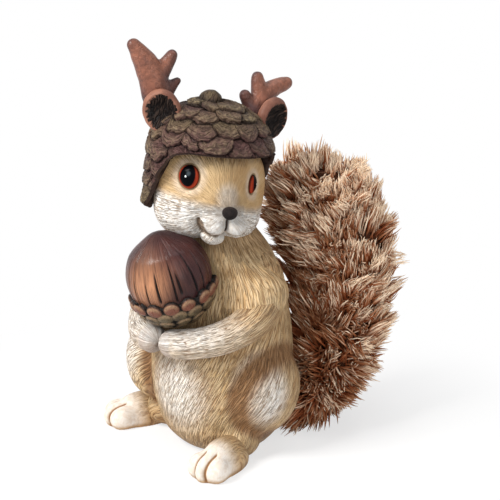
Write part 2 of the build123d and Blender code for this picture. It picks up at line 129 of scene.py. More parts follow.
# Distance fields, negative inside
def ball_field(points, middle, radii):
    """Roughly the distance to a stretched ball."""
    offset = points - np.array(middle)
    near = np.linalg.norm(offset / np.array(radii), axis=-1)
    steep = np.linalg.norm(offset / np.array(radii) ** 2, axis=-1)
    return near * (near - 1) / np.maximum(steep, 1e-6)


def rod_field(points, start, end, start_radius, end_radius):
    """The distance to a tapering rod with round ends."""
    start, end = np.array(start, float), np.array(end, float)
    line = end - start
    share = np.clip((points - start) @ line / (line @ line), 0, 1)
    middle = start + share[..., None] * line
    radius = start_radius + (end_radius - start_radius) * share
    return np.linalg.norm(points - middle, axis=-1) - radius


def melt(first, second, reach):
    """Both fields joined, with a soft fillet of that reach."""
    close = np.maximum(reach - np.abs(first - second), 0) / reach
    return np.minimum(first, second) - close * close * reach / 4


def carve(body, tool, reach):
    """The body's field less the tool's, with a soft edge of that reach."""
    return -melt(-body, tool, reach)


def cast(field, origins, directions, far, steps=70):
    """Where rays that come in from far away first meet the field, along each direction."""
    distance = np.full(directions.shape[:-1], float(far))
    for _ in range(steps):
        gap = field(origins + directions * distance[..., None])
        distance = np.maximum(distance - gap * 0.8, 0.5)
    return origins + directions * distance[..., None]


def full_turn(columns):
    """Angles at even steps round one whole turn."""
    return np.linspace(0, 2 * math.pi, columns, endpoint=False)


def ball_angles(rows, columns, gap):
    """A grid of angles: down from a pole and round it, stopping a small gap short of both poles."""
    return np.meshgrid(np.linspace(math.pi - gap, gap, rows), full_turn(columns), indexing="ij")


def upright_rays(rows, columns, gap):
    """Directions over a whole ball with its poles up and down."""
    fall, around = ball_angles(rows, columns, gap)
    return np.stack([-np.sin(fall) * np.sin(around), np.sin(fall) * np.cos(around), np.cos(fall)], -1)


def half_turn(angle):
    """An angle brought between minus half a turn and half a turn."""
    return (angle + math.pi) % (2 * math.pi) - math.pi


# Meshes from grids
def store(mesh, name, values, kind="FLOAT"):
    """Keeps one number or vector per point on the mesh, for its material to read."""
    layer = mesh.attributes.new(name, kind, "POINT")
    key = "value" if kind == "FLOAT" else "vector"
    layer.data.foreach_set(key, np.ascontiguousarray(values, dtype=np.float32).ravel())


def make_object(name, points, faces, marks=None, smooth=True):
    """An object from points in millimetres, faces and values per point."""
    mesh = bpy.data.meshes.new(name)
    mesh.from_pydata((points * MM).tolist(), [], faces)
    for label, values in (marks or {}).items():
        store(mesh, label, values, "FLOAT" if np.ndim(values) == 1 else "FLOAT_VECTOR")
    if smooth:
        mesh.polygons.foreach_set("use_smooth", np.ones(len(mesh.polygons), dtype=bool))
    mesh.update()
    piece = bpy.data.objects.new(name, mesh)
    bpy.context.scene.collection.objects.link(piece)
    return piece


def grid_faces(rows, columns, flip=False):
    """Quads of a grid that closes round its columns, with a point at each end of its rows."""
    row, column = np.meshgrid(np.arange(rows - 1), np.arange(columns), indexing="ij")
    after = (column + 1) % columns
    here, next_row = row * columns, (row + 1) * columns
    quads = np.stack([here + column, here + after, next_row + after, next_row + column], -1).reshape(-1, 4)
    turn = np.arange(columns)
    nxt = (turn + 1) % columns
    first, last = rows * columns, rows * columns + 1
    bottom = np.stack([np.full(columns, first), nxt, turn], -1)
    top = np.stack([np.full(columns, last), (rows - 1) * columns + turn, (rows - 1) * columns + nxt], -1)
    faces = quads.tolist() + bottom.tolist() + top.tolist()
    if flip:
        faces = [face[::-1] for face in faces]
    return faces


def closed_grid(name, points, marks=None, flip=False):
    """An object from a grid of rings, closed at both ends by the mean of the end rings."""
    rows, columns = points.shape[:2]
    flat = points.reshape(-1, 3)
    flat = np.vstack([flat, points[0].mean(0), points[-1].mean(0)])
    full = {}
    for label, values in (marks or {}).items():
        ends = [values[0].mean(0), values[-1].mean(0)]
        rest = values.reshape(-1, *values.shape[2:])
        full[label] = np.concatenate([rest, np.stack(ends)])
    piece = make_object(name, flat, grid_faces(rows, columns, flip), full)
    wrap_map(piece, rows, columns)
    return piece


def wrap_map(piece, rows, columns):
    """A map of the grid: its columns across and its rows up, with the seam kept apart."""
    mesh = piece.data
    layer = mesh.uv_layers.new(name="OFBake")
    corners = np.empty(len(mesh.loops), dtype=np.int64)
    mesh.loops.foreach_get("vertex_index", corners)
    starts = np.empty(len(mesh.polygons), dtype=np.int64)
    mesh.polygons.foreach_get("loop_start", starts)
    sizes = np.empty(len(mesh.polygons), dtype=np.int64)
    mesh.polygons.foreach_get("loop_total", sizes)
    owner = np.repeat(np.arange(len(sizes)), sizes)
    pole = corners >= rows * columns
    across = (corners % columns).astype(float)
    up = (corners // columns).astype(float) + 1
    up[corners == rows * columns] = 0
    up[corners == rows * columns + 1] = rows + 1
    widest = np.zeros(len(sizes))
    np.maximum.at(widest, owner, np.where(pole, 0, across))
    wraps = (widest[owner] > columns * 0.75) & (across < columns * 0.25) & ~pole
    across[wraps] += columns
    total = np.zeros(len(sizes))
    count = np.zeros(len(sizes))
    np.add.at(total, owner, np.where(pole, 0, across))
    np.add.at(count, owner, np.where(pole, 0, 1))
    across[pole] = (total / count)[owner][pole]
    places = np.stack([across / columns, up / (rows + 1)], -1)
    layer.data.foreach_set("uv", places.astype(np.float32).ravel())


def tube(line, radii, rings, sides):
    """Points of a round tube through a line, with rounded ends, and each ring's length along."""
    line, radii = np.array(line, float), np.array(radii, float)
    steps = np.concatenate([[0], np.cumsum(np.linalg.norm(np.diff(line, axis=0), axis=1))])
    at = np.linspace(0, steps[-1], rings)
    middle = curve_through(steps, line, at)
    radius = curve_through(steps, radii, at)
    along = np.gradient(middle, axis=0)
    along /= np.linalg.norm(along, axis=1)[:, None]
    across = np.zeros_like(along)
    carried = np.array([1.0, 0.0, 0.0])
    for index, direction in enumerate(along):
        carried = carried - direction * (carried @ direction)
        carried /= np.linalg.norm(carried)
        across[index] = carried
    third = np.cross(along, across)
    cap = np.linspace(0, math.pi / 2, CAP_RINGS + 1)[:-1]
    start = [middle[0] - along[0] * radius[0] * math.cos(a) for a in cap]
    finish = [middle[-1] + along[-1] * radius[-1] * math.cos(a) for a in cap[::-1]]
    middles = np.array(start + list(middle) + finish)
    grow = [radius[0] * math.sin(a) for a in cap]
    shrink = [radius[-1] * math.sin(a) for a in cap[::-1]]
    sizes = np.maximum(np.array(grow + list(radius) + shrink), SMALLEST_RING)
    order = np.array([0] * len(start) + list(range(rings)) + [rings - 1] * len(finish))
    turn = full_turn(sides)[None, :, None]
    ring = across[order][:, None] * np.cos(turn) + third[order][:, None] * np.sin(turn)
    lengths = np.concatenate([np.zeros(len(start)), at, np.full(len(finish), steps[-1])])
    return middles[:, None] + ring * sizes[:, None, None], lengths


def join_tubes(name, tubes):
    """One object that holds several closed tubes."""
    points, faces, total = [], [], 0
    for grid in tubes:
        rows, columns = grid.shape[:2]
        flat = np.vstack([grid.reshape(-1, 3), grid[0].mean(0), grid[-1].mean(0)])
        faces += [[corner + total for corner in face] for face in grid_faces(rows, columns)]
        points.append(flat)
        total += len(flat)
    return make_object(name, np.vstack(points), faces)


def blend_solid(piece, voxel, rounds):
    """Runs the joined tubes together into one skin and smooths it, and gives its points."""
    mesher = piece.modifiers.new("skin", "REMESH")
    mesher.mode = "VOXEL"
    mesher.voxel_size = voxel * MM
    softer = piece.modifiers.new("soft", "SMOOTH")
    softer.iterations = rounds
    softer.factor = 0.5
    view = bpy.context.evaluated_depsgraph_get()
    view.update()
    mesh = bpy.data.meshes.new_from_object(piece.evaluated_get(view))
    piece.modifiers.clear()
    old = piece.data
    piece.data = mesh
    bpy.data.meshes.remove(old)
    mesh.polygons.foreach_set("use_smooth", np.ones(len(mesh.polygons), dtype=bool))
    points = np.empty(len(mesh.vertices) * 3, dtype=np.float64)
    mesh.vertices.foreach_get("co", points)
    return points.reshape(-1, 3) / MM


def move_points(piece, points):
    """Puts an object's points, given in millimetres, where they should be."""
    piece.data.vertices.foreach_set("co", (points * MM).astype(np.float32).ravel())
    piece.data.update()


def point_normals(piece):
    """The outward direction at each point of an object."""
    normals = np.empty(len(piece.data.vertices) * 3, dtype=np.float32)
    piece.data.vertices.foreach_get("normal", normals)
    return normals.reshape(-1, 3).astype(float)


# Shader helpers
class Nodes:
    """Short ways to add and join nodes in one node tree."""

    def __init__(self, tree):
        self.tree = tree

    def add(self, kind, **settings):
        """A new node of a kind, with its settings."""
        node = self.tree.nodes.new(kind)
        for key, value in settings.items():
            setattr(node, key, value)
        return node

    def link(self, source, target):
        """Joins an output to an input."""
        self.tree.links.new(source, target)

    def math(self, operation, first, second=None, third=None, clamp=False):
        """One step of arithmetic on numbers or outputs."""
        node = self.add("ShaderNodeMath", operation=operation, use_clamp=clamp)
        for socket, value in zip(node.inputs, (first, second, third)):
            if value is None:
                continue
            if isinstance(value, (int, float)):
                socket.default_value = value
            else:
                self.link(value, socket)
        return node.outputs[0]

    def mix(self, share, first, second):
        """Two colours blended by a share."""
        node = self.add("ShaderNodeMix", data_type="RGBA")
        sockets = node.inputs[0], node.inputs[6], node.inputs[7]
        for socket, value in zip(sockets, (share, first, second)):
            if isinstance(value, (int, float)):
                socket.default_value = value
            elif isinstance(value, tuple):
                socket.default_value = (*value, 1.0)
            else:
                self.link(value, socket)
        return node.outputs[2]

    def ramp(self, value, low, high):
        """0 at low and 1 at high, with a smooth cubic between."""
        node = self.add("ShaderNodeMapRange", interpolation_type="SMOOTHSTEP")
        self.link(value, node.inputs[0])
        node.inputs[1].default_value = low
        node.inputs[2].default_value = high
        return node.outputs[0]

    def noise(self, vector, scale, detail, rough=0.5, twist=0.0):
        """Noise from 0 to 1 at a place."""
        node = self.add("ShaderNodeTexNoise")
        self.link(vector, node.inputs["Vector"])
        if isinstance(scale, float):
            node.inputs["Scale"].default_value = scale
        else:
            self.link(scale, node.inputs["Scale"])
        node.inputs["Detail"].default_value = detail
        node.inputs["Roughness"].default_value = rough
        node.inputs["Distortion"].default_value = twist
        return node.outputs["Fac"]

    def parts(self, vector):
        """The three numbers of a vector."""
        node = self.add("ShaderNodeSeparateXYZ")
        self.link(vector, node.inputs[0])
        return node.outputs

    def mark(self, name):
        """A number that the mesh keeps at each point."""
        return self.add("ShaderNodeAttribute", attribute_name=name).outputs["Fac"]

    def vector_mark(self, name):
        """A vector that the mesh keeps at each point."""
        return self.add("ShaderNodeAttribute", attribute_name=name).outputs["Vector"]

    def place(self):
        """Where a point is in its object's own frame."""
        return self.add("ShaderNodeTexCoord").outputs["Object"]


def new_group(name, inputs, outputs):
    """An empty node group with named number and vector sockets."""
    tree = bpy.data.node_groups.new(name, "ShaderNodeTree")
    kinds = {"number": "NodeSocketFloat", "vector": "NodeSocketVector"}
    for label, kind, default in inputs:
        socket = tree.interface.new_socket(label, in_out="INPUT", socket_type=kinds[kind])
        if default is not None:
            socket.default_value = default
    for label, kind in outputs:
        tree.interface.new_socket(label, in_out="OUTPUT", socket_type=kinds[kind])
    nodes = Nodes(tree)
    return tree, nodes, nodes.add("NodeGroupInput"), nodes.add("NodeGroupOutput")


def carved_fur_group():
    """Strokes cut along a grain: thin dark grooves where stretched noise crosses its middle."""
    tree, n, given, result = new_group(
        "carved fur",
        [("Grain", "vector", None), ("Length", "number", 9.0), ("Width", "number", 1.5)],
        [("Groove", "number"), ("Ridge", "number"), ("Height", "number")],
    )
    grain = n.parts(given.outputs["Grain"])
    along = n.math("DIVIDE", grain[0], given.outputs["Length"])
    across = n.math("DIVIDE", grain[1], given.outputs["Width"])
    off_middle = []
    fields = []
    for shift, stretch in ((0.0, 1.0), (37.0, 1.7)):
        place = n.add("ShaderNodeCombineXYZ")
        n.link(n.math("MULTIPLY_ADD", along, stretch, shift), place.inputs[0])
        n.link(n.math("MULTIPLY_ADD", across, stretch, shift), place.inputs[1])
        field = n.noise(place.outputs[0], 1.0, detail=1.0, rough=0.4, twist=0.25)
        fields.append(field)
        off_middle.append(n.math("ABSOLUTE", n.math("SUBTRACT", field, 0.5)))
    long_cut = n.math("SUBTRACT", 1.0, n.ramp(off_middle[0], 0.0, 0.055))
    short_cut = n.math("SUBTRACT", 1.0, n.ramp(off_middle[1], 0.0, 0.04))
    long_cut = n.math("MULTIPLY", long_cut, n.ramp(fields[1], 0.36, 0.52))
    groove = n.math("MAXIMUM", long_cut, n.math("MULTIPLY", short_cut, 0.6))
    ridge = n.ramp(off_middle[0], 0.03, 0.14)
    height = n.math("MULTIPLY_ADD", groove, -1.0, n.math("MULTIPLY", ridge, 0.5))
    n.link(groove, result.inputs["Groove"])
    n.link(ridge, result.inputs["Ridge"])
    n.link(height, result.inputs["Height"])
    return tree


def mottle_group():
    """Uneven paint: soft patches and fine specks from two sizes of noise."""
    tree, n, given, result = new_group(
        "mottle",
        [("Place", "vector", None), ("Size", "number", 120.0)],
        [("Patches", "number"), ("Specks", "number")],
    )
    place, size = given.outputs["Place"], given.outputs["Size"]
    patches = n.noise(place, size, detail=4.0)
    specks = n.noise(place, n.math("MULTIPLY", size, 9.0), detail=3.0)
    n.link(n.ramp(patches, 0.35, 0.65), result.inputs["Patches"])
    n.link(n.ramp(specks, 0.4, 0.62), result.inputs["Specks"])
    return tree


def use_group(n, tree, **values):
    """A group placed in a material, with its values set or linked, and its outputs."""
    node = n.add("ShaderNodeGroup", node_tree=tree)
    for label, value in values.items():
        if isinstance(value, (int, float)):
            node.inputs[label].default_value = value
        else:
            n.link(value, node.inputs[label])
    return node.outputs


def new_material(name, roughness, specular=0.5, coat=0.0, coat_roughness=0.1):
    """A material with a Principled shader, and its nodes ready to add to."""
    material = bpy.data.materials.new(name)
    material.use_nodes = True
    shader = material.node_tree.nodes["Principled BSDF"]
    shader.inputs["Roughness"].default_value = roughness
    shader.inputs["Specular IOR Level"].default_value = specular
    shader.inputs["Coat Weight"].default_value = coat
    shader.inputs["Coat Roughness"].default_value = coat_roughness
    return material, Nodes(material.node_tree), shader


def raise_surface(n, shader, height, distance):
    """Feeds a height through a Bump node to the shader, at a distance in millimetres."""
    bump = n.add("ShaderNodeBump")
    bump.inputs["Strength"].default_value = 1.0
    bump.inputs["Distance"].default_value = distance * MM
    n.link(height, bump.inputs["Height"])
    n.link(bump.outputs["Normal"], shader.inputs["Normal"])


# Paint colours: one, or a dark and a pale one that are mottled or blended
TAN = (0.50, 0.305, 0.135), (0.62, 0.42, 0.215)
# Brown for painted lines, and for painted shade in creases, under parts and near the floor
BROWN_LINES_AND_SHADE = (0.235, 0.105, 0.036)
RUBBED_CREAM = (0.80, 0.66, 0.45)
STROKE_BROWN = (0.13, 0.062, 0.028)
BRUSHED_WHITE = (0.90, 0.89, 0.87)
MOUTH_BLACK = (0.035, 0.018, 0.012)

BARK = (0.040, 0.027, 0.021), (0.115, 0.080, 0.046)
BARK_PURPLE = (0.095, 0.045, 0.042)
BARK_RUBBED = (0.38, 0.29, 0.165)
BARK_LINE = (0.032, 0.02, 0.015)
# Painted shade for the crevices under the scales' edges and the hat's inside
BARK_GAP = (0.012, 0.008, 0.007)

HORN = (0.105, 0.038, 0.027), (0.27, 0.108, 0.068)
HORN_SHADE = (0.048, 0.022, 0.024)
HORN_SPECK = (0.05, 0.022, 0.018)
EAR_RIM = (0.13, 0.052, 0.036), (0.28, 0.128, 0.085)
EAR_HAIR = (0.007, 0.005, 0.005), (0.085, 0.052, 0.038)

NUT_SKIN = (0.034, 0.010, 0.012), (0.078, 0.024, 0.020)
NUT_COPPER_HIGHLIGHT = (0.50, 0.235, 0.12)
NUT_LINE = (0.022, 0.008, 0.008)
NUT_GROOVE = (0.006, 0.003, 0.003)
CUP_OLIVE = (0.050, 0.034, 0.018), (0.12, 0.088, 0.046)
CUP_COPPER = (0.17, 0.06, 0.036)
CUP_BRONZE_HIGHLIGHT = (0.36, 0.23, 0.13)
CUP_SHADE_BLACK = (0.008, 0.006, 0.005)

IRIS = (0.13, 0.012, 0.007), (0.34, 0.040, 0.015)
IRIS_EDGE = (0.08, 0.014, 0.008)
PUPIL = (0.002, 0.002, 0.003)
PUPIL_REFLECTION_BLUE = (0.11, 0.14, 0.16)
GLINT = (0.9, 0.92, 0.93)
NOSE_BROWN = (0.009, 0.006, 0.006), (0.022, 0.014, 0.013)

HAIR_ROOT = (0.022, 0.007, 0.004), (0.10, 0.032, 0.014)
HAIR_MIDDLE = (0.24, 0.062, 0.020), (0.60, 0.25, 0.11)
HAIR_TIP = (0.42, 0.19, 0.09), (1.0, 0.80, 0.60)
PILE_GROUND = (0.04, 0.015, 0.008), (0.10, 0.036, 0.018)

STEEL = (0.42, 0.42, 0.43), (0.58, 0.58, 0.60)
RESIN = (0.36, 0.29, 0.21), (0.46, 0.38, 0.29)
BACKING = (0.16, 0.07, 0.035), (0.24, 0.11, 0.06)
FIBRE = (0.70, 0.69, 0.66), (0.85, 0.84, 0.82)


# Materials
def painted_fur():
    """Tan paint with brown in the strokes, brown lines and painted shade where the mesh is marked dark,
    cream rubbed over the ridges, and white brushed on where it is marked pale, which on the arms is also a
    painted highlight.
    """
    material, n, shader = new_material("painted fur", roughness=0.55, specular=0.24)
    pale, dark, deep = n.parts(n.vector_mark("paint"))
    grain = n.vector_mark("grain")
    strength = n.parts(grain)[2]
    carved = use_group(n, carved_fur, Grain=grain, Length=8.5, Width=0.88)
    mottled = use_group(n, mottle, Place=n.place(), Size=55.0)
    groove = n.math("MULTIPLY", carved["Groove"], strength)
    ridge = n.math("MULTIPLY", carved["Ridge"], strength)
    # The dark mark lays brown for painted lines and for painted shade
    lines_and_shade = n.math("MULTIPLY", dark, 0.9, clamp=True)
    shaded_tan = n.mix(lines_and_shade, n.mix(mottled["Patches"], *TAN), BROWN_LINES_AND_SHADE)
    rubbed = n.math("MULTIPLY", ridge, n.math("MULTIPLY_ADD", dark, -0.25, 0.32))
    cream = n.mix(rubbed, shaded_tan, RUBBED_CREAM)
    ink = n.math("MULTIPLY", groove, n.math("MULTIPLY_ADD", dark, 0.15, 0.72))
    inked = n.mix(ink, cream, STROKE_BROWN)
    dry = n.math("MULTIPLY_ADD", mottled["Specks"], 0.22, 0.72)
    brush = n.math("MULTIPLY", pale, dry, clamp=True)
    brush = n.math("MULTIPLY", brush, n.math("MULTIPLY_ADD", groove, -0.92, 1.0))
    brushed = n.mix(brush, inked, BRUSHED_WHITE)
    n.link(n.mix(deep, brushed, MOUTH_BLACK), shader.inputs["Base Color"])
    raise_surface(n, shader, n.math("MULTIPLY", carved["Height"], strength), 0.45)
    return material


def hat_bark():
    """Grey-brown scales, with painted shade dark in the crevices under their edges, and olive and tan where
    they are rubbed.
    """
    material, n, shader = new_material("hat bark", roughness=0.5, specular=0.12)
    warmth = n.mark("warmth")
    mottled = use_group(n, mottle, Place=n.place(), Size=75.0)
    carved = use_group(n, carved_fur, Grain=n.vector_mark("grain"), Length=7.0, Width=1.9)
    base = n.mix(mottled["Patches"], *BARK)
    purple = n.mix(n.math("MULTIPLY", warmth, 0.9), base, BARK_PURPLE)
    dry = n.math("MULTIPLY_ADD", mottled["Specks"], 0.45, 0.12)
    rubbed = n.math("MULTIPLY", n.ramp(n.mark("relief"), 0.6, 1.0), dry)
    rubbed = n.math("MULTIPLY", rubbed, n.math("MULTIPLY_ADD", warmth, -0.6, 1.0))
    lit = n.mix(rubbed, purple, BARK_RUBBED)
    lined = n.mix(n.math("MULTIPLY", carved["Groove"], 0.6), lit, BARK_LINE)
    # Painted shade: the gap mark darkens the crevices
    gap = n.math("MULTIPLY", n.mark("gap"), 0.95, clamp=True)
    n.link(n.mix(gap, lined, BARK_GAP), shader.inputs["Base Color"])
    raise_surface(n, shader, n.math("MULTIPLY_ADD", mottled["Specks"], 0.25, carved["Height"]), 0.5)
    return material


def antler_paint():
    """Glossy pinkish brown, mottled, and grey-purple in random patches and in painted shade towards the
    roots, the forks and the edges.
    """
    material, n, shader = new_material("antler paint", roughness=0.33, specular=0.2)
    mottled = use_group(n, mottle, Place=n.place(), Size=60.0)
    base = n.mix(mottled["Patches"], *HORN)
    shaded = n.mix(n.math("MULTIPLY", n.mark("patches_and_shade"), 0.88, clamp=True), base, HORN_SHADE)
    specks = n.mix(n.math("MULTIPLY", mottled["Specks"], 0.28), shaded, HORN_SPECK)
    n.link(specks, shader.inputs["Base Color"])
    raise_surface(n, shader, mottled["Specks"], 0.14)
    return material


def ear_paint():
    """The antlers' colour on the rim, and black fur lines in the dish."""
    material, n, shader = new_material("ear paint", roughness=0.5, specular=0.15)
    mottled = use_group(n, mottle, Place=n.place(), Size=80.0)
    inside = n.ramp(n.mark("dish"), 0.3, 0.6)
    carved = use_group(n, carved_fur, Grain=n.vector_mark("grain"), Length=6.0, Width=1.0)
    black = n.mix(n.math("MULTIPLY", carved["Ridge"], 0.4), *EAR_HAIR)
    n.link(n.mix(inside, n.mix(mottled["Patches"], *EAR_RIM), black), shader.inputs["Base Color"])
    raise_surface(n, shader, n.math("MULTIPLY", carved["Height"], inside), 0.6)
    return material


def nut_paint():
    """Glossy purple-brown with a painted copper highlight, and dark carved meridians."""
    material, n, shader = new_material(
        "nut paint", roughness=0.3, specular=0.16, coat=0.14, coat_roughness=0.16
    )
    mottled = use_group(n, mottle, Place=n.place(), Size=60.0)
    uneven = n.math("MULTIPLY_ADD", mottled["Patches"], 0.4, 0.75)
    # Painted highlight: the copper mark
    patch = n.math("MULTIPLY", n.mark("copper"), uneven, clamp=True)
    warm = n.mix(patch, n.mix(mottled["Patches"], *NUT_SKIN), NUT_COPPER_HIGHLIGHT)
    carved = use_group(n, carved_fur, Grain=n.vector_mark("grain"), Length=24.0, Width=1.8)
    lined = n.mix(n.math("MULTIPLY", carved["Groove"], 0.45), warm, NUT_LINE)
    n.link(n.mix(n.mark("groove"), lined, NUT_GROOVE), shader.inputs["Base Color"])
    raise_surface(n, shader, carved["Height"], 0.14)
    return material


def cup_paint():
    """Olive knobs with a painted bronze highlight on their upper edges, copper on the top row, and painted
    shade black between them and inside.
    """
    material, n, shader = new_material("cup paint", roughness=0.38, specular=0.22)
    mottled = use_group(n, mottle, Place=n.place(), Size=120.0)
    copper = n.mix(n.mark("copper"), n.mix(mottled["Patches"], *CUP_OLIVE), CUP_COPPER)
    rim = n.mix(n.math("MULTIPLY", n.mark("rim"), 0.6), copper, CUP_BRONZE_HIGHLIGHT)
    # Painted shade: black where the knobs sink low, between them and inside the cup
    crevice = n.math("SUBTRACT", 1.0, n.ramp(n.mark("relief"), 0.25, 0.6))
    n.link(n.mix(crevice, rim, CUP_SHADE_BLACK), shader.inputs["Base Color"])
    raise_surface(n, shader, mottled["Specks"], 0.25)
    return material


def eye_paint():
    """A black pupil in a dark red ring, under clear gloss, with a painted blue reflection and a painted
    glint.
    """
    material, n, shader = new_material("eye paint", roughness=0.18, specular=0.03)
    x, y, _ = n.parts(n.vector_mark("disc"))

    def apart(across, up, tall=1.0):
        far_x = n.math("SUBTRACT", x, across)
        far_y = n.math("DIVIDE", n.math("SUBTRACT", y, up), tall)
        squares = n.math("ADD", n.math("MULTIPLY", far_x, far_x), n.math("MULTIPLY", far_y, far_y))
        return n.math("SQRT", squares)

    radius = apart(0.0, 0.0)
    ring = n.mix(n.ramp(radius, 0.66, 0.94), *IRIS)
    edge = n.mix(n.ramp(radius, 0.92, 1.0), ring, IRIS_EDGE)
    pupil = n.mix(n.ramp(apart(0.05, 0.13, 1.22), 0.68, 0.76), PUPIL, edge)
    # Painted reflection: a bluish patch on the pupil
    reflection = n.math("MULTIPLY", n.math("SUBTRACT", 1.0, n.ramp(apart(0.16, 0.36), 0.06, 0.28)), 0.4)
    reflected = n.mix(reflection, pupil, PUPIL_REFLECTION_BLUE)
    # Painted highlight: a white glint
    white = n.math("SUBTRACT", 1.0, n.ramp(apart(-0.06, 0.10), 0.05, 0.11))
    n.link(n.mix(white, reflected, GLINT), shader.inputs["Base Color"])
    return material


def pile_hair():
    """Dark at the root, through rust brown to cream at the tip, with tone by hair."""
    material, n, shader = new_material("pile hair", roughness=0.7, specular=0.1)
    tone, along, _ = n.parts(n.add("ShaderNodeUVMap", uv_map="OFBake").outputs[0])
    tip = n.mix(n.ramp(tone, 0.1, 0.75), *HAIR_TIP)
    reach = n.math("MULTIPLY_ADD", tone, 0.35, n.math("SUBTRACT", along, 0.17))
    lower = n.mix(n.ramp(along, 0.15, 0.55), n.mix(tone, *HAIR_ROOT), n.mix(tone, *HAIR_MIDDLE))
    n.link(n.mix(n.ramp(reach, 0.45, 0.85), lower, tip), shader.inputs["Base Color"])
    return material


def mottled_finish(name, colours, roughness, specular=0.5, metallic=0.0, size=140.0, specks=0.08):
    """A plain finish, mottled between two colours, with its specks raised a little."""
    material, n, shader = new_material(name, roughness, specular)
    shader.inputs["Metallic"].default_value = metallic
    mottled = use_group(n, mottle, Place=n.place(), Size=size)
    n.link(n.mix(mottled["Patches"], *colours), shader.inputs["Base Color"])
    raise_surface(n, shader, mottled["Specks"], specks)
    return material


carved_fur = carved_fur_group()
mottle = mottle_group()


# Torso
TORSO_LEVELS = np.array([0.0, 5.2, 19.8, 37.4, 55.1, 65.5, 80.1, 92.6, 104.0])
TORSO_GIRTHS = np.array([0.62, 0.77, 0.94, 1.0, 0.955, 0.88, 0.75, 0.58, 0.42])
TORSO_FORWARD = np.array([3.2, 3.6, 4.0, 4.0, 3.2, 2.0, 0.8, 2.4, 5.6])
TORSO_HALF = (33.0, 31.5)
TORSO_TOP = 103.0

# The rings at the torso's foot: their heights, and how far each is drawn in
HEM = ((0.0, 0.86), (0.0, 0.955), (0.25, 0.978), (0.9, 0.992))

# The barrel's field rises more slowly than the real distance, so that no ray steps through it
BARREL_SLOPE = 0.92

# Middles and half sizes of the forms that are melted on, and their fillets
HAUNCHES = (((24.6, -2.6, 30.5), (14.9, 19.0, 21.8)), ((-28.0, -15.0, 34.5), (14.5, 18.5, 21.5)))
HEELS = (((22.5, -13.8, 8.4), (8.2, 9.8, 8.6)), ((-27.5, -14.0, 8.4), (8.2, 9.8, 8.6)))
HAUNCH_FILLET, HEEL_FILLET, ARM_FILLET = 2.0, 3.0, 8.0

# The upper arms: start, end and the radius at each
UPPER_ARMS = (
    ((12.0, 3.0, 87.0), (27.0, -3.5, 75.5), 6.0, 8.5),
    ((27.0, -3.5, 75.5), (30.0, -12.0, 68.0), 8.5, 7.4),
    ((-11.0, 2.0, 87.0), (-26.5, -9.0, 72.0), 6.0, 7.5),
    ((-26.5, -9.0, 72.0), (-27.5, -19.0, 64.0), 7.5, 6.4),
)

# Pale patches: the belly's place and half size seen from the front, and balls at the sides
BELLY_PATCH = (3, 31), (21, 25)
SIDE_PATCHES = (((35, -13, 34), (16, 16, 22), 0.9), ((-33, -28, 40), (14, 14, 20), 0.75))

# How far the torso's strokes have fallen towards its sides, by height
STROKE_LEVELS = (0, 20, 45, 62, 80, 104)
STROKE_FALL = (0, 9, 22, 30, 31, 29)


def torso_barrel(points):
    """A pear of level ellipses, wide at the belly and drawn in at the neck."""
    height = np.clip(points[..., 2], TORSO_LEVELS[0], TORSO_LEVELS[-1])
    girth = curve_through(TORSO_LEVELS, TORSO_GIRTHS, height)
    forward = curve_through(TORSO_LEVELS, TORSO_FORWARD, height)
    x = points[..., 0] / (TORSO_HALF[0] * girth)
    y = (points[..., 1] + forward) / (TORSO_HALF[1] * girth)
    return (np.sqrt(x * x + y * y) - 1) * TORSO_HALF[1] * girth * BARREL_SLOPE


def torso_field(points):
    """The barrel with haunches and heels set on it, and the upper arms melted in."""
    body = torso_barrel(points)
    for middle, radii in HAUNCHES:
        body = melt(body, ball_field(points, middle, radii), HAUNCH_FILLET)
    for middle, radii in HEELS:
        body = melt(body, ball_field(points, middle, radii), HEEL_FILLET)
    for start, end, first, second in UPPER_ARMS:
        body = melt(body, rod_field(points, start, end, first, second), ARM_FILLET)
    return body


def patch(points, middle, half):
    """1 at a patch's middle, 0 at its edge and less outside: one minus the distance in half sizes."""
    return 1.0 - np.linalg.norm((points - np.array(middle)) / np.array(half), axis=-1)


def torso_paint(points, around):
    """Where the torso is pale, where painted shade darkens it, and which way its strokes run."""
    x, y, z = points[..., 0], points[..., 1], points[..., 2]
    pale = ease(0, 0.75, patch(points[..., [0, 2]], *BELLY_PATCH)) * ease(-14, -24, y) * 0.8
    for middle, half, strength in SIDE_PATCHES:
        pale = pale + ease(0, 0.6, patch(points, middle, half)) * strength
    # Painted shade: darker in the creases round the haunches, under the arms, near the floor and under the
    # head, with the white taken out of the creases
    crease = np.zeros_like(x)
    for middle, radii in HAUNCHES:
        crease = np.maximum(crease, ease(4.5, 0.8, np.abs(ball_field(points, middle, radii))))
    crease = crease * ease(6.0, 2.0, np.abs(torso_barrel(points)))
    under_arm = ease(46, 56, z) * ease(72, 62, z) * ease(-10, -22, y)
    dark = 0.5 * ease(15, 2, z) + 1.0 * crease + 0.4 * under_arm + 0.5 * ease(88, 98, z)
    slant = np.interp(z, STROKE_LEVELS, STROKE_FALL)
    grain = np.stack([z, around * 31.0 - slant, np.ones_like(x)], -1)
    pale = np.clip(pale * (1 - crease), 0, 1)
    return grain, np.stack([pale, np.clip(dark, 0, 1), np.zeros_like(x)], -1)


def body_relief(grain, size):
    """Small uneven ridges along the grain, in millimetres."""
    along, across = grain[..., 0], grain[..., 1]
    wide = noise(across / 2.3, along / 9.0 + 7, 3)
    fine = noise(across / 1.2, along / 6.0, 4)
    return size * (0.65 * wide + 0.35 * fine)


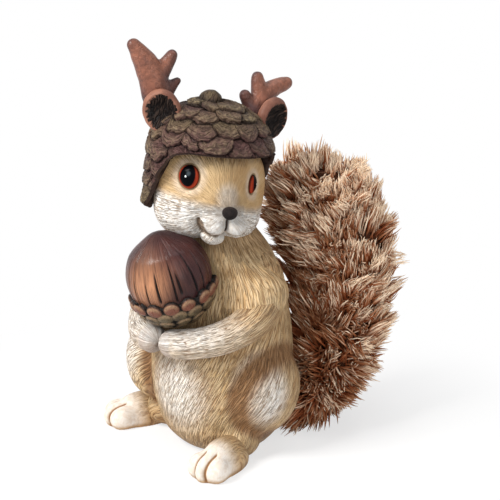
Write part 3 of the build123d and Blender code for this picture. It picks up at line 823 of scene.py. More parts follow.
def build_torso():
    """Rings of points where level rays from a bent upright meet the torso's field."""
    rows, columns = 250, 480
    hem_height, hem_share = np.array(HEM).T
    plain = rows - len(HEM)
    around = np.linspace(-math.pi, math.pi, columns, endpoint=False)
    height = np.concatenate([hem_height, np.linspace(1.8, TORSO_TOP, plain)])
    middle = np.stack([np.zeros(rows), -curve_through(TORSO_LEVELS, TORSO_FORWARD, height), height], -1)
    rays = np.stack([np.sin(around), -np.cos(around), np.zeros(columns)], -1)
    origins = np.repeat(middle[:, None], columns, 1)
    directions = np.repeat(rays[None], rows, 0)
    points = cast(torso_field, origins, directions, 60.0)
    shrink = np.concatenate([hem_share, np.ones(plain)])
    points = origins + (points - origins) * shrink[:, None, None]
    turn = np.repeat(around[None], rows, 0)
    grain, paint = torso_paint(points, turn)
    lift = body_relief(grain, 0.16) * ease(1.5, 6, points[..., 2])
    points = points + directions * lift[..., None]
    return closed_grid("torso_skin", points, {"grain": grain, "paint": paint})


# Head: middles and half sizes in its own frame, and the fillet each form is melted on with
SKULL = (-0.2, 3, 1), (23.4, 20.5, 26)
HEAD_FORMS = (
    ((-0.4, -4.5, 0), (15, 17.8, 21), 5.0),
    ((17.4, 0.2, -3), (7.6, 8.5, 15), 2.5),
    ((-17, -0.6, -3), (7.6, 8.5, 15), 2.5),
    ((9.4, -4.5, -13), (12.8, 14.5, 11.8), 5.0),
    ((-10.5, -4, -13.4), (12.8, 14.5, 11.8), 5.0),
    ((0.8, -14.5, -8.6), (8.2, 12, 7.4), 6.0),
    ((6.0, -22.0, -14.8), (5.5, 6.4, 4.5), 1.4),
    ((-3.9, -21.8, -14.4), (5.5, 6.4, 4.5), 1.4),
    ((-2, -17.6, -20.4), (5, 6, 3.6), 1.4),
)

# The eyes: how far each looks to the side, its place and its share of the full size
EYES = {
    "left": (math.radians(58.0), (13.9, -13.2, 2.0), 0.82),
    "right": (math.radians(-46.0), (-14.2, -13.8, 3.9), 1.0),
}
SOCKET = (0, -2.2, 0), (5.5, 2.4, 5.8)
SOCKET_EDGE = 1.4
EYE_HALF = np.array([4.8, 3.0, 5.1])
EYE_THICKNESS = 1.6
NOSE_HALF = np.array([3.3, 3.0, 2.8])
NOSE_PLACE = np.array([0.9, -27.4, -7.7])

# The mouth's lines, seen from the front, and how they are pressed in
PRESS_WIDTH = 0.8
MOUTH_DEPTH, SMILE_DEPTH = 1.0, 0.75
FAR = 99.0
MOUTH = ((1.0, -10.6), (1.05, -14.0), (0.7, -16.9))
SMILES = (
    ((0.7, -16.9), (-2.2, -18.8), (-5.2, -18.9), (-7.6, -17.6), (-9.3, -15.2), (-9.8, -13.0)),
    ((0.7, -16.9), (4.0, -18.3), (7.8, -17.4), (10.5, -14.8)),
)


def line_distance(points, route):
    """How far points are, seen from the front, from a line through a few places on the face."""
    flat = points[..., [0, 2]]
    nearest = np.full(flat.shape[:-1], FAR)
    for start, end in zip(route[:-1], route[1:]):
        nearest = np.minimum(nearest, rod_field(flat, start, end, 0.0, 0.0))
    return nearest + FAR * (points[..., 1] > -12)


def in_eye(points, name):
    """Points of the head's frame, as seen from one eye's own middle."""
    splay, place, size = EYES[name]
    return (points - np.array(place)) @ turn_about("Z", splay) / size


def head_field(points):
    """The skull with face, ruffs, cheeks, snout, lip pads and chin melted on, and sockets carved in."""
    body = ball_field(points, *SKULL)
    for middle, half, fillet in HEAD_FORMS:
        body = melt(body, ball_field(points, middle, half), fillet)
    for name in EYES:
        body = carve(body, ball_field(in_eye(points, name), *SOCKET), SOCKET_EDGE)
    return body


def head_paint(points):
    """White on the cheeks, lips and chin, dark in the mouth line, with strokes out from the nose, and
    painted shade under the hat's brim, under the chin and on the head's sides behind the face.
    """
    x, y, z = points[..., 0], points[..., 1], points[..., 2]

    def oval(middle, half):
        return np.hypot((x - middle[0]) / half[0], (z - middle[1]) / half[1])

    away = np.arctan2(np.hypot(x - 0.8, z + 8), -(y + 2))
    turn = np.arctan2(x - 0.8, z + 8)
    cheeks = ease(-5.0, -10.5, z + 0.1 * x) * ease(2.0, -5.0, y)
    muzzle = ease(1.25, 0.8, oval((0.8, -14.5), (12.5, 9.0))) * ease(-4, -10, y)
    bridge = 0.45 * ease(1.2, 0.4, oval((0.8, -2.5), (5.5, 7))) * ease(-12, -20, y)
    pale = np.maximum(np.maximum(cheeks, muzzle), bridge)
    mouth = ease(0.95, 0.4, line_distance(points, MOUTH))
    smile = np.zeros_like(x)
    for route in SMILES:
        smile = np.maximum(smile, ease(1.0, 0.3, line_distance(points, route)))
    rim = np.full_like(x, 9.0)
    glow = np.zeros_like(x)
    for name in EYES:
        local = in_eye(points, name)
        apart = np.hypot(local[..., 0] / 5.0, local[..., 2] / 5.3) + 9 * (local[..., 1] > 6)
        rim = np.minimum(rim, apart)
        glow = np.maximum(glow, ease(1.9, 1.2, apart))
    ring = ease(1.14, 1.05, rim)
    # Painted shade: darker under the hat's brim, under the chin and on the head's sides behind the face
    brow = 0.55 * ease(9, 15, z) + 0.35 * ease(-21, -26, z)
    ruff = 0.5 * ease(-7, -2, y) * ease(11, 15, np.abs(x))
    dark = np.clip(brow + ruff - 0.5 * glow, 0, 1)
    smile = smile * np.where(x > 1.5, 0.45, 1.0)
    dark = np.maximum(dark, smile * 0.6)
    lit = np.clip(np.maximum(pale, 0.3 * glow) * (1 - ring) * (1 - 0.8 * smile), 0, 1)
    calm = np.clip(0.30 + 0.7 * np.maximum(pale, ease(9, 14, z)) + 0.4 * ease(-4, 2, y), 0, 1)
    calm = calm * (1 - np.maximum(mouth, ring)) * (1 - 0.5 * ease(1.1, 0.6, oval((1, -14), (10, 5))))
    grain = np.stack([away * 26.0, turn * 22.0, calm], -1)
    return grain, np.stack([lit, dark, np.maximum(np.maximum(mouth, 0.45 * smile), ring * 0.7)], -1)


def dent(apart):
    """1 on a line and falling off beside it, as the bell curve of the distance."""
    return np.exp(-((apart / PRESS_WIDTH) ** 2))


def build_head():
    """A ball of rays from inside the head out to its field, pressed in along the mouth's lines."""
    rays = upright_rays(250, 430, 0.012)
    origins = np.broadcast_to(np.array([0.0, -3.0, -4.0]), rays.shape)
    points = cast(head_field, origins, rays, 40.0)
    grain, paint = head_paint(points)
    press = MOUTH_DEPTH * dent(line_distance(points, MOUTH))
    for route in SMILES:
        press = np.maximum(press, SMILE_DEPTH * dent(line_distance(points, route)))
    lift = body_relief(grain, 0.13) * grain[..., 2] - press
    points = points + rays * lift[..., None]
    return closed_grid("head_skin", out_of_head(points), {"grain": grain, "paint": paint})


def build_eye(name):
    """A shallow dome: an ellipse's rings that rise as a quarter wave, on the head's side."""
    splay, place, size = EYES[name]
    rings, columns = 26, 72
    share = np.sin(np.linspace(0.02, math.pi / 2, rings))
    share, turn = np.meshgrid(share, full_turn(columns), indexing="ij")
    x, z = share * np.cos(turn), share * np.sin(turn)
    point = 1 + 0.08 * np.clip(z, 0, 1) * np.clip(-math.copysign(1, splay) * x, 0, 1)
    bulge = np.sqrt(np.clip(1 - share**2, 0, 1))
    front = np.stack([x * point, -bulge, z * point], -1) * EYE_HALF
    back = front[::-1] * np.array([1, 0, 1]) + np.array([0, EYE_THICKNESS, 0])
    grid = np.concatenate([front, back])
    disc = np.stack([x, z, np.zeros_like(x)], -1)
    disc = np.concatenate([disc, disc[::-1]])
    points = size * grid @ turn_about("Z", splay).T + np.array(place)
    return closed_grid(f"{name}_eye_dome", out_of_head(points), {"disc": disc}, flip=True)


def build_nose():
    """A stretched ball that widens from its foot to its top by a share of its height."""
    points = upright_rays(48, 72, 0.03)
    points[..., 0] *= 1 + 0.12 * points[..., 2]
    return closed_grid("nose_ball", out_of_head(points * NOSE_HALF + NOSE_PLACE))


# Hat
HAT_MIDDLE = np.array([-1.0, 1.5, 11.5])
HAT_HALF = (26.9, 26.9, 22.4)
HAT_CROWN = 36.0

# The knob on the flap: its place, height and reach
FLAP_KNOB = (-27.0, 1.0, -10.0)
KNOB_HEIGHT, KNOB_REACH = 1.8, 4.2

# How far the skirt goes down before it would close in to a point
SKIRT_CLOSES = 70.0

# The brim's height by how far back a place is, along a line turned a little to the side
BRIM_TURN = math.radians(12)
BRIM = (
    (-60, 15.0),
    (-27, 16.0),
    (-16, 15.5),
    (-10.8, 13.8),
    (-6.5, 10.5),
    (-2, 2.0),
    (2.7, -8.8),
    (6, -13.0),
    (60, -14.5),
)

# Rows of scales on the crown and on the skirt, and one scale's sizes in millimetres
CROWN_ROWS, SKIRT_ROWS = 5, 3
FIRST_FALL, ROW_FALL = 20.0, 16.5
SKIRT_STEP, SKIRT_SCALES = 6.6, 16
ROW_SHIFT = 0.37
SCALE_SPACING = 10.5
SCALE_LENGTH = 10.5
SCALE_HALF = 6.4
SCALE_DROP = 4.2
SCALE_ARC = 5.6
SCALE_GAP = 1.3
SCALE_HEIGHT = 2.5

# The stem: its place, the radius of its round top and how high that starts and rises
STEM_PLACE = (-3.0, 4.0)
STEM_RADIUS = 5.2
STEM_TOP, STEM_RISE = 33.0, 5.4

# The lip's radius, and how high the hat's inside goes
LIP = 1.0
INSIDE_TOP = 28.0


def brim_height(x, y):
    """How low the brim comes at a place on the hat: high over the face, low at the sides and back."""
    spot = -x * math.sin(BRIM_TURN) + y * math.cos(BRIM_TURN)
    places, heights = np.array(BRIM).T
    return np.interp(spot, places, heights)


def hat_place(around, share):
    """A place on the smooth hat: a quarter ellipse over the crown, then nearly straight down."""
    reach_x, reach_y = HAT_HALF[0] * np.sin(around), -HAT_HALF[1] * np.cos(around)
    low = brim_height(HAT_MIDDLE[0] + reach_x, HAT_MIDDLE[1] + reach_y)
    skirt = np.maximum(HAT_MIDDLE[2] - low, 0.0)
    early = np.clip(-(HAT_MIDDLE[2] - low), 0, 20) / HAT_HALF[2]
    last = math.pi / 2 - np.arcsin(np.clip(early, 0, 1))
    length = HAT_CROWN * last / (math.pi / 2) + skirt
    s = share * length
    angle = np.minimum(s / HAT_CROWN * math.pi / 2, last)
    below = np.maximum(s - HAT_CROWN * last / (math.pi / 2), 0)
    height = HAT_HALF[2] * np.cos(angle) - below
    girth = np.sin(angle) * np.sqrt(np.clip(1 - (below / SKIRT_CLOSES) ** 2, 0, 1))
    point = np.stack([reach_x * girth, reach_y * girth, height], -1)
    return HAT_MIDDLE + point, s


def scale_rows():
    """Each row of scales: how far down its middle is, how many it has and where it starts."""
    rows = []
    for row in range(CROWN_ROWS):
        fall = FIRST_FALL + ROW_FALL * row
        ring = HAT_HALF[0] * math.sin(math.radians(fall))
        count = round(2 * math.pi * ring / SCALE_SPACING)
        rows.append((fall / 90 * HAT_CROWN, ring, count, row * ROW_SHIFT))
    for row in range(SKIRT_ROWS):
        rows.append((HAT_CROWN + SKIRT_STEP * (row + 1), HAT_HALF[0], SKIRT_SCALES, row * ROW_SHIFT))
    return rows


def scale_relief(around, s, generator):
    """Scales laid from the brim up to the crown, each over the last, with a ragged arc below."""
    relief = np.full_like(s, 0.1)
    tone = np.full_like(s, 0.5)
    line = np.zeros_like(s)
    depth = np.zeros_like(s)
    gap = np.zeros_like(s)
    for row, (middle, ring, count, first) in reversed(list(enumerate(scale_rows()))):
        for scale in generator.permutation(count):
            start = first + 2 * math.pi * scale / count + math.pi / 2 + generator.normal(0, 0.05)
            lower = middle + SCALE_DROP + generator.uniform(-1.5, 1.5)
            half = SCALE_HALF / ring * generator.uniform(0.85, 1.3)
            away = half_turn(around - start)
            a = away / half
            wavy = 1.1 * noise(a * 1.7 + start * 9, s / 5 + row, 11)
            wavy = wavy + 0.5 * noise(a * 5.0 + start * 5, s / 3 + row, 12)
            edge = lower - SCALE_ARC * (1 - np.sqrt(np.clip(1 - a * a, 0, 1))) + wavy
            b = (s - (edge - SCALE_LENGTH)) / SCALE_LENGTH
            inside = (np.abs(a) < 1) & (b > 0) & (s < edge)
            # Painted shade: a strip below each scale's edge, where it overhangs the scale under it, is
            # marked as gap
            near = (np.abs(a) < 1.04) & (s >= edge) & (s < edge + SCALE_GAP)
            gap = np.where(near, np.maximum(gap, 1 - (s - edge) / SCALE_GAP), gap)
            height = (0.25 + 0.75 * ease(0.0, 0.8, b)) * generator.uniform(0.8, 1.0) - 0.12 * a * a
            relief = np.where(inside, height * (0.35 + 0.65 * ease(0.0, 0.6, edge - s)), relief)
            gap = np.where(inside, 0.0, gap)
            tone = np.where(inside, generator.uniform(0, 1), tone)
            line = np.where(inside, away * ring + scale * 17.0, line)
            depth = np.where(inside, (edge - s) + row * 13.0, depth)
    return relief, tone, line, depth, gap


def raise_stem(outside, smooth, relief, gap):
    """Puts a round stem on the crown: a half ball's height within its radius, and a ring of painted shade
    round its foot.
    """
    side = np.hypot(smooth[..., 0] - STEM_PLACE[0], smooth[..., 1] - STEM_PLACE[1])
    stem = ease(5.6, 4.2, side)
    dome = np.sqrt(np.clip(1 - (side / STEM_RADIUS) ** 2, 0, 1))
    top = STEM_TOP + STEM_RISE * dome + 0.3 * noise(smooth[..., 0] / 2, smooth[..., 1] / 2, 32)
    outside[..., 2] = outside[..., 2] * (1 - stem) + np.maximum(outside[..., 2], top) * stem
    relief = relief * (1 - stem) + stem * (0.6 + 0.3 * noise(smooth[..., 0], smooth[..., 1], 31))
    gap = np.maximum(gap * (1 - stem), 0.7 * ease(6.4, 5.4, side) * ease(4.4, 5.0, side))
    return relief, gap


def hat_lining(lip, inner):
    """From the lip half a small turn inward, then a quarter wave up under the crown."""
    inward = HAT_MIDDLE * np.array([1, 1, 0]) - lip * np.array([1, 1, 0])
    inward /= np.linalg.norm(inward, axis=-1)[:, None]
    bend = np.linspace(0, math.pi, 7)[1:]
    down = np.array([0, 0, LIP])
    rim = [lip + inward * (LIP * (1 - math.cos(b))) - down * math.sin(b) for b in bend]
    edge = rim[-1]
    under = []
    for step in np.linspace(0, 1, inner + 1)[1:]:
        sink = HAT_MIDDLE + (edge - HAT_MIDDLE) * np.array([1, 1, 0]) * (1 - step * 0.96)
        lift = edge[:, 2] + (INSIDE_TOP - edge[:, 2]) * math.sin(step * math.pi / 2)
        under.append(np.concatenate([sink[:, :2], lift[:, None]], 1))
    return np.array(rim), np.array(under)


def build_hat(seed):
    """Rings from the crown to the brim, round its lip and back up inside, with scales outside."""
    generator = np.random.default_rng(seed)
    columns, outer, inner = 540, 200, 18
    around = np.linspace(-math.pi, math.pi, columns, endpoint=False)
    share = np.linspace(0.012, 1.0, outer)
    share, turn = np.meshgrid(share, around, indexing="ij")
    smooth, s = hat_place(turn, share)
    relief, tone, line, depth, gap = scale_relief(turn, s, generator)
    outward = np.gradient(smooth, axis=0)
    side = np.roll(smooth, -1, 1) - np.roll(smooth, 1, 1)
    normal = np.cross(side, outward)
    normal /= np.maximum(np.linalg.norm(normal, axis=-1), 1e-9)[..., None]
    normal *= np.sign((normal * (smooth - HAT_MIDDLE)).sum(-1))[..., None]
    rough = 0.14 * noise(turn * 26, s / 0.9, 21) + 0.10 * noise(turn * 44, s / 0.6, 22)
    knob = np.exp(-((np.linalg.norm(smooth - np.array(FLAP_KNOB), axis=-1) / KNOB_REACH) ** 2))
    lift = SCALE_HEIGHT * relief - 0.7 + rough + KNOB_HEIGHT * knob - 0.5 * gap
    outside = smooth + normal * lift[..., None]
    relief, gap = raise_stem(outside, smooth, relief, gap)
    rim, under = hat_lining(outside[-1], inner)
    points = np.concatenate([outside, rim, under])

    def longer(values, rim_fill, fill):
        lip_part = np.full((len(rim), columns), rim_fill)
        return np.concatenate([values, lip_part, np.full((len(under), columns), fill)])

    grain = np.stack([longer(line, 0, 0), longer(depth, 0, 0), longer(tone * 0, 0, 0)], -1)
    front = ease(4, -16, smooth[..., 1]) * ease(28, 21, smooth[..., 2])
    warmth = np.clip(0.2 + 0.9 * (tone - 0.5) + 0.9 * front, 0, 1)
    marks = {
        "relief": longer(relief, 0.3, 0.1),
        "grain": grain,
        "warmth": longer(warmth, 0.5, 0.5),
        # Painted shade: darker round the lip and darkest inside the hat
        "gap": longer(gap, 0.5, 0.9),
    }
    return closed_grid("hat_bark", out_of_head(points), marks, flip=True)


# Ears: each one's side and place, its ball, the ball carved out of it and how it is turned
EARS = {"left": (1, (24.6, 0.2, 28.6)), "right": (-1, (-25.3, 0.2, 28.4))}
EAR_BALL = (0, 0, 0), (8.3, 4.6, 9.4)
EAR_DISH = (0.3, -4.4, -0.5), (7.0, 4.8, 8.0)
EAR_TURN, EAR_TILT = math.radians(28), math.radians(18)


def ear_field(points):
    """A flattened ball with a smaller one carved out of its front."""
    return carve(ball_field(points, *EAR_BALL), ball_field(points, *EAR_DISH), 1.0)


def build_ear(name):
    """Rays from the back of the ear out to its field, turned with the ear."""
    side, place = EARS[name]
    fall, around = ball_angles(120, 180, 0.02)
    rays = np.stack([-np.sin(fall) * np.sin(around), np.cos(fall), np.sin(fall) * np.cos(around)], -1)
    origins = np.broadcast_to(np.array([0.0, 3.0, 0.0]), rays.shape)
    points = cast(ear_field, origins, rays, 20.0, 90)
    x, y, z = points[..., 0], points[..., 1], points[..., 2]
    apart = np.hypot((x - 0.3) / 6.9, (z + 0.5) / 7.9) + 0.05 * noise(x * 1.5, z * 1.5, 42)
    dish = ease(1.04, 0.90, apart) * ease(1.8, 1.2, y)
    grain = np.stack([z + x * 0.6, x - z * 0.6, y * 0], -1)
    points = points + rays * (0.12 * noise(x / 2, z / 2, 41))[..., None]
    axes = turn_about("Z", side * EAR_TURN) @ turn_about("Y", side * EAR_TILT)
    points = out_of_head(points @ axes.T + np.array(place))
    return closed_grid(f"{name}_ear_cup", points, {"dish": dish, "grain": grain}, flip=True)


# Antlers: three tines each, as places on the tine's line and the radius at each
ANTLER_VOXEL = 0.5
ANTLER_ROUNDS = 14
ANTLERS = {
    "right": (
        (
            ((-20.5, 8, 23.5), (-25.4, 8, 32.5), (-28.8, 8, 41), (-33.2, 8, 48), (-38.4, 8, 54)),
            (6.2, 6.6, 6.2, 5.0, 2.9),
        ),
        (((-27.4, 8, 38.0), (-24.6, 8, 45.0), (-21.2, 8, 51.2)), (5.2, 3.8, 2.5)),
        (((-25.4, 8, 31.0), (-21.6, 8, 36.5), (-17.4, 8, 40.4)), (5.4, 3.4, 1.7)),
    ),
    "left": (
        (
            ((16.0, 9, 22.5), (19.8, 10, 30), (23.4, 12, 35.6), (28.6, 14.5, 39.2), (35.4, 17, 41.8)),
            (5.2, 5.2, 4.6, 4.0, 3.0),
        ),
        (((22.6, 11, 33.5), (21.2, 12, 39.0), (20.2, 13, 43.8)), (4.6, 3.6, 2.9)),
        (((19.4, 9.5, 27.5), (16.6, 9.5, 32.5), (14.3, 9.5, 36.2)), (4.4, 3.3, 2.6)),
    ),
}


def build_antler(name):
    """Three tapering tubes run into one skin, with painted shade at the roots, in the forks and on the
    edges, and random dark patches.
    """
    tubes = [tube(line, radii, 40, 40)[0] for line, radii in ANTLERS[name]]
    piece = join_tubes(f"{name}_antler_skin", [out_of_head(grid) for grid in tubes])
    points = blend_solid(piece, ANTLER_VOXEL, ANTLER_ROUNDS)
    local = (points - HEAD_MIDDLE) @ HEAD_AXES
    normals = point_normals(piece)
    bumps = noise(local[:, 0] / 3.2, local[:, 2] / 3.2, 51) * 0.22
    move_points(piece, points + normals * bumps[:, None])
    # Painted shade: darker towards the head, near the roots and on the edges, mixed with random patches
    inner = ease(-30, -20, local[:, 0]) if name == "right" else ease(23, 15, local[:, 0])
    low = ease(36, 27, local[:, 2])
    patches = noise(local[:, 0] / 5, local[:, 2] / 6, 52)
    edge = ease(0.85, 0.2, np.abs((normals @ HEAD_AXES)[:, 1]))
    patches_and_shade = np.clip(0.45 * patches + 0.6 * inner + 0.5 * low + 0.55 * edge, 0, 1)
    store(piece.data, "patches_and_shade", patches_and_shade)
    return piece


# Acorn
NUT_RADIUS, NUT_TOP, NUT_BOTTOM = 18.4, 20.4, 19.6
NUT_GROOVES = 21
GROOVE_DEPTH = 0.9

# The copper highlight painted on the nut's lit side: how far round and how high it is, and how wide and
# tall
HIGHLIGHT_PLACE, HIGHLIGHT_SIZE = (0.30, 4), (0.55, 9)


def nut_profile(height):
    """The nut's radius at a height: round below, and drawn in to a blunt point above."""
    upper = np.clip(height / NUT_TOP, 0, 1)
    lower = np.clip(-height / NUT_BOTTOM, 0, 1)
    above = NUT_RADIUS * np.sqrt(np.clip(1 - upper**1.9, 0, 1)) * (1 - 0.25 * ease(0.6, 1.0, upper))
    return np.where(height > 0, above, NUT_RADIUS * np.sqrt(np.clip(1 - lower**2, 0, 1)))


def build_nut(seed):
    """The nut's profile turned about its axis, with carved meridians that widen towards the cup."""
    generator = np.random.default_rng(seed)
    rows, columns = 200, 460
    angle = np.linspace(-math.pi / 2 + 0.01, math.pi / 2 - 0.008, rows)
    height = np.where(angle > 0, NUT_TOP * np.sin(angle), NUT_BOTTOM * np.sin(angle))
    height, turn = np.meshgrid(height, full_turn(columns), indexing="ij")
    radius = nut_profile(height)
    groove = np.zeros_like(radius)
    for index in range(NUT_GROOVES):
        start = 2 * math.pi * (index + generator.uniform(-0.28, 0.28)) / NUT_GROOVES
        low, high = generator.uniform(-6.5, -2.5), generator.uniform(4, 19)
        lean = generator.uniform(-0.08, 0.08)
        away = half_turn(turn - start - lean * height / 20)
        wide = generator.uniform(0.5, 0.95) * (0.45 + 0.75 * ease(14, -2, height))
        taper = ease(low - 1.5, low + 1.5, height) * ease(high + 3, high - 7, height)
        cut = ease(wide, 0.0, np.abs(away) * np.maximum(radius, 2.0)) * taper
        groove = np.maximum(groove, cut)
    lift = 0.22 * noise(turn * 4, height / 30, 61) - GROOVE_DEPTH * groove
    reach = np.maximum(radius + lift, 0.05)
    points = np.stack([reach * np.sin(turn), -reach * np.cos(turn), height], -1)
    # Painted highlight: a copper patch where light falls on the nut
    round_off = (half_turn(turn) - HIGHLIGHT_PLACE[0]) / HIGHLIGHT_SIZE[0]
    up_off = (height - HIGHLIGHT_PLACE[1]) / HIGHLIGHT_SIZE[1]
    copper = np.exp(-(round_off**2)) * np.exp(-(up_off**2))
    grain = np.stack([height, turn * 20, height * 0], -1)
    marks = {"groove": ease(0.2, 0.6, groove), "copper": copper, "grain": grain}
    return closed_grid("nut_skin", out_of_acorn(points), marks)


CUP_RADIUS, CUP_DEPTH, CUP_RIM = 19.6, 22.6, -6.4

# The level that the cup's outside stops at, and the radius that turns its angles to millimetres
CUP_EDGE = 4.6
CUP_MEAN = 21.0

# How far the knobs stand out, and how far the bare rim over them sinks
KNOB_LIFT = 2.0
BARE_SINK = 2.6

# The cup's rows of knobs: degrees below the level, how many, where the first is, and their size
KNOB_ROWS = (
    (20.5, 16, 0.0, 3.7),
    (34.0, 15, 0.2, 3.9),
    (47.5, 12, 0.45, 3.9),
    (62.0, 9, 0.7, 3.8),
    (78.0, 5, 1.0, 3.4),
)


def knob_relief(angle, turn, radius, generator):
    """Rows of knobs, each a half ball's height with a painted highlight on its upper edge, and where the
    top row is.
    """
    relief = np.zeros_like(radius)
    rim = np.zeros_like(radius)
    top_row = np.zeros_like(radius)
    for index, (fall, count, shift, size) in enumerate(KNOB_ROWS):
        level = math.radians(fall)
        for knob in range(count):
            start = shift + 2 * math.pi * knob / count + math.pi / 2 + generator.normal(0, 0.03)
            wide = size * generator.uniform(0.94, 1.08)
            away = half_turn(turn - start) * radius
            drop = (-angle - level - generator.normal(0, 0.015)) * CUP_MEAN
            apart = np.hypot(away / wide, drop / (wide * 0.88))
            dome = np.sqrt(np.clip(1 - apart**2, 0, 1)) * (1.0 - 0.09 * index)
            dome = dome * (0.88 - 0.16 * drop / wide)
            better = dome > relief
            relief = np.where(better, dome, relief)
            # Painted highlight: the rim mark lights only each knob's upper edge
            edge = ease(0.35, 0.7, apart) * ease(0.97, 0.8, apart) * ease(0.2, -0.6, drop / wide)
            rim = np.where(better, edge, rim)
            top_row = np.where(better, 1.0 if index == 0 else 0.0, top_row)
    return relief, rim, top_row


def build_cup(seed):
    """A bowl whose outside carries rows of rounded knobs, with a painted highlight on each knob's upper
    edge.
    """
    generator = np.random.default_rng(seed)
    columns, outer, inner = 520, 150, 12
    angle = np.linspace(-math.pi / 2 + 0.01, -math.asin(CUP_EDGE / CUP_DEPTH), outer)
    angle, turn = np.meshgrid(angle, full_turn(columns), indexing="ij")
    radius, height = CUP_RADIUS * np.cos(angle), CUP_DEPTH * np.sin(angle)
    relief, rim, top_row = knob_relief(angle, turn, radius, generator)
    bare = ease(0.35, 0.1, relief) * ease(CUP_RIM - 1.2, CUP_RIM, height)
    lift = KNOB_LIFT * relief - 0.3 - BARE_SINK * bare
    reach = radius + lift * np.cos(angle)
    outside = np.stack([reach * np.sin(turn), -reach * np.cos(turn), height + lift * np.sin(angle)], -1)
    lip = outside[-1]
    under = []
    for step in np.linspace(0, 1, inner + 1)[1:]:
        shrink = 0.9 * (1 - step * 0.93)
        level = -5.0 - 14.0 * math.sin(step * math.pi / 2)
        under.append(np.stack([lip[:, 0] * shrink, lip[:, 1] * shrink, np.full(columns, level)], -1))
    points = np.concatenate([outside, np.array(under)])
    blank = np.zeros((inner, columns))
    marks = {
        "relief": np.concatenate([relief, blank]),
        "rim": np.concatenate([rim, blank]),
        "copper": np.concatenate([top_row, blank]),
    }
    return closed_grid("cup_knobs", out_of_acorn(points), marks)


# Arms: places on each one's line from the shoulder to the paw, with the radius there
ARMS = {
    "left": (
        (9, 4, 89, 5.0),
        (18.5, 2, 83.5, 8.4),
        (27, -3.5, 75.5, 9.0),
        (30, -12, 67.5, 8.2),
        (26.5, -24, 61.4, 7.2),
        (18.5, -33.5, 58.2, 6.7),
        (12.8, -37.8, 57.2, 6.5),
        (8.2, -40.2, 56.8, 6.1),
    ),
    "right": (
        (-9, 3, 88, 5.0),
        (-20.5, -1.5, 82, 8.4),
        (-26.5, -9, 72, 8.4),
        (-27.5, -19, 64, 7.8),
        (-23.5, -28, 59.0, 7.4),
        (-16, -35.5, 56.8, 7.2),
        (-9.0, -40.0, 56.4, 6.9),
        (-3.6, -41.6, 56.4, 6.3),
    ),
}


def build_arm(name):
    """A tube along the arm that swells at the elbow and ends in a mitten of a paw."""
    stations = np.array(ARMS[name])
    grid, lengths = tube(stations[:, :3], stations[:, 3], 210, 190)
    rows, columns = grid.shape[:2]
    along = np.repeat(lengths[:, None], columns, 1)
    around = np.repeat(full_turn(columns)[None], rows, 0)
    middle = grid.mean(1, keepdims=True)
    outward = grid - middle
    outward /= np.maximum(np.linalg.norm(outward, axis=-1), 1e-6)[..., None]
    total = lengths[-1]
    grain = np.stack([along, around * 7.6, 0.5 + 0.5 * ease(total + 1, total - 4, along)], -1)
    points = grid + outward * body_relief(grain, 0.18)[..., None]
    fore = ease(total - 40, total - 13, along)
    # Painted highlight: the forearm's white is brighter on its upper side
    pale = np.clip(fore * (0.42 + 0.38 * ease(-0.5, 0.5, outward[..., 2])), 0, 1)
    # Painted shade: darker in the fold against the torso, on the underside and at the paw's very end where
    # the paws meet
    fold = ease(4.0, 0.4, np.abs(torso_field(grid)))
    dark = 0.35 * fold * ease(total - 30, total - 45, along) + 0.45 * ease(-0.2, -0.9, outward[..., 2])
    dark = np.clip(dark + 0.8 * ease(total - 1.2, total, along), 0, 1)
    paint = np.stack([pale, dark, pale * 0], -1)
    return closed_grid(f"{name}_arm_skin", points, {"grain": grain, "paint": paint})


# Feet: each one's place on the floor and how far it is turned out
FEET = {
    "left": ((26.0, -27.4, 0), math.radians(12.0)),
    "right": ((-37.0, -20.6, 0), math.radians(-22.0)),
}
SOLE = (0, 0, 2.4), (8.4, 15.6, 11.8)
TOES = ((-5.4, -11.4, 4.4), (0.0, -13.4, 4.4), (5.4, -11.4, 4.4))
TOE_HALF = (3.9, 5.4, 5.4)
TOE_FILLET = 3.0
GROOVE_AT = 2.8
TOE_PRESS = 1.1


def toe_grooves(points):
    """How far points are from the two upright planes that part the toes, in front of the ankle."""
    apart = np.abs(np.abs(points[..., 0] - 0.06 * (points[..., 1] + 12)) - GROOVE_AT)
    return apart + 3.0 * ease(-10.5, -4.5, points[..., 1])


def foot_field(points):
    """A long low foot with three toes melted on, standing on the floor."""
    body = ball_field(points, *SOLE)
    for toe in TOES:
        body = melt(body, ball_field(points, toe, TOE_HALF), TOE_FILLET)
    return np.maximum(body, -points[..., 2])


def build_foot(name):
    """Rays from inside the foot out to its field, turned outward and set on the floor."""
    place, turn = FEET[name]
    rays = upright_rays(170, 260, 0.02)
    origins = np.broadcast_to(np.array([0.0, -3.0, 3.0]), rays.shape)
    points = cast(foot_field, origins, rays, 30.0, 90)
    points[..., 2] = np.maximum(points[..., 2], 0.0)
    groove = ease(0.9, 0.25, toe_grooves(points))
    back = ease(-8, 2, points[..., 1])
    # Painted shade: darker, and without white, near the floor; the toe grooves are painted brown lines
    dark = np.clip(groove + 0.4 * ease(3.5, 0.5, points[..., 2]) + 0.3 * back, 0, 1)
    pale = 0.78 * (1 - back) * (1 - groove) * ease(0.4, 3.0, points[..., 2])
    calm = 0.12 + 0.6 * back
    grain = np.stack([points[..., 1], points[..., 0] * 1.5, calm], -1)
    press = TOE_PRESS * dent(toe_grooves(points)) * ease(0.2, 2.0, points[..., 2])
    points = points - rays * press[..., None]
    turned = points @ turn_about("Z", turn).T + np.array(place)
    paint = np.stack([pale, dark, pale * 0], -1)
    return closed_grid(f"{name}_foot_skin", turned, {"grain": grain, "paint": paint})


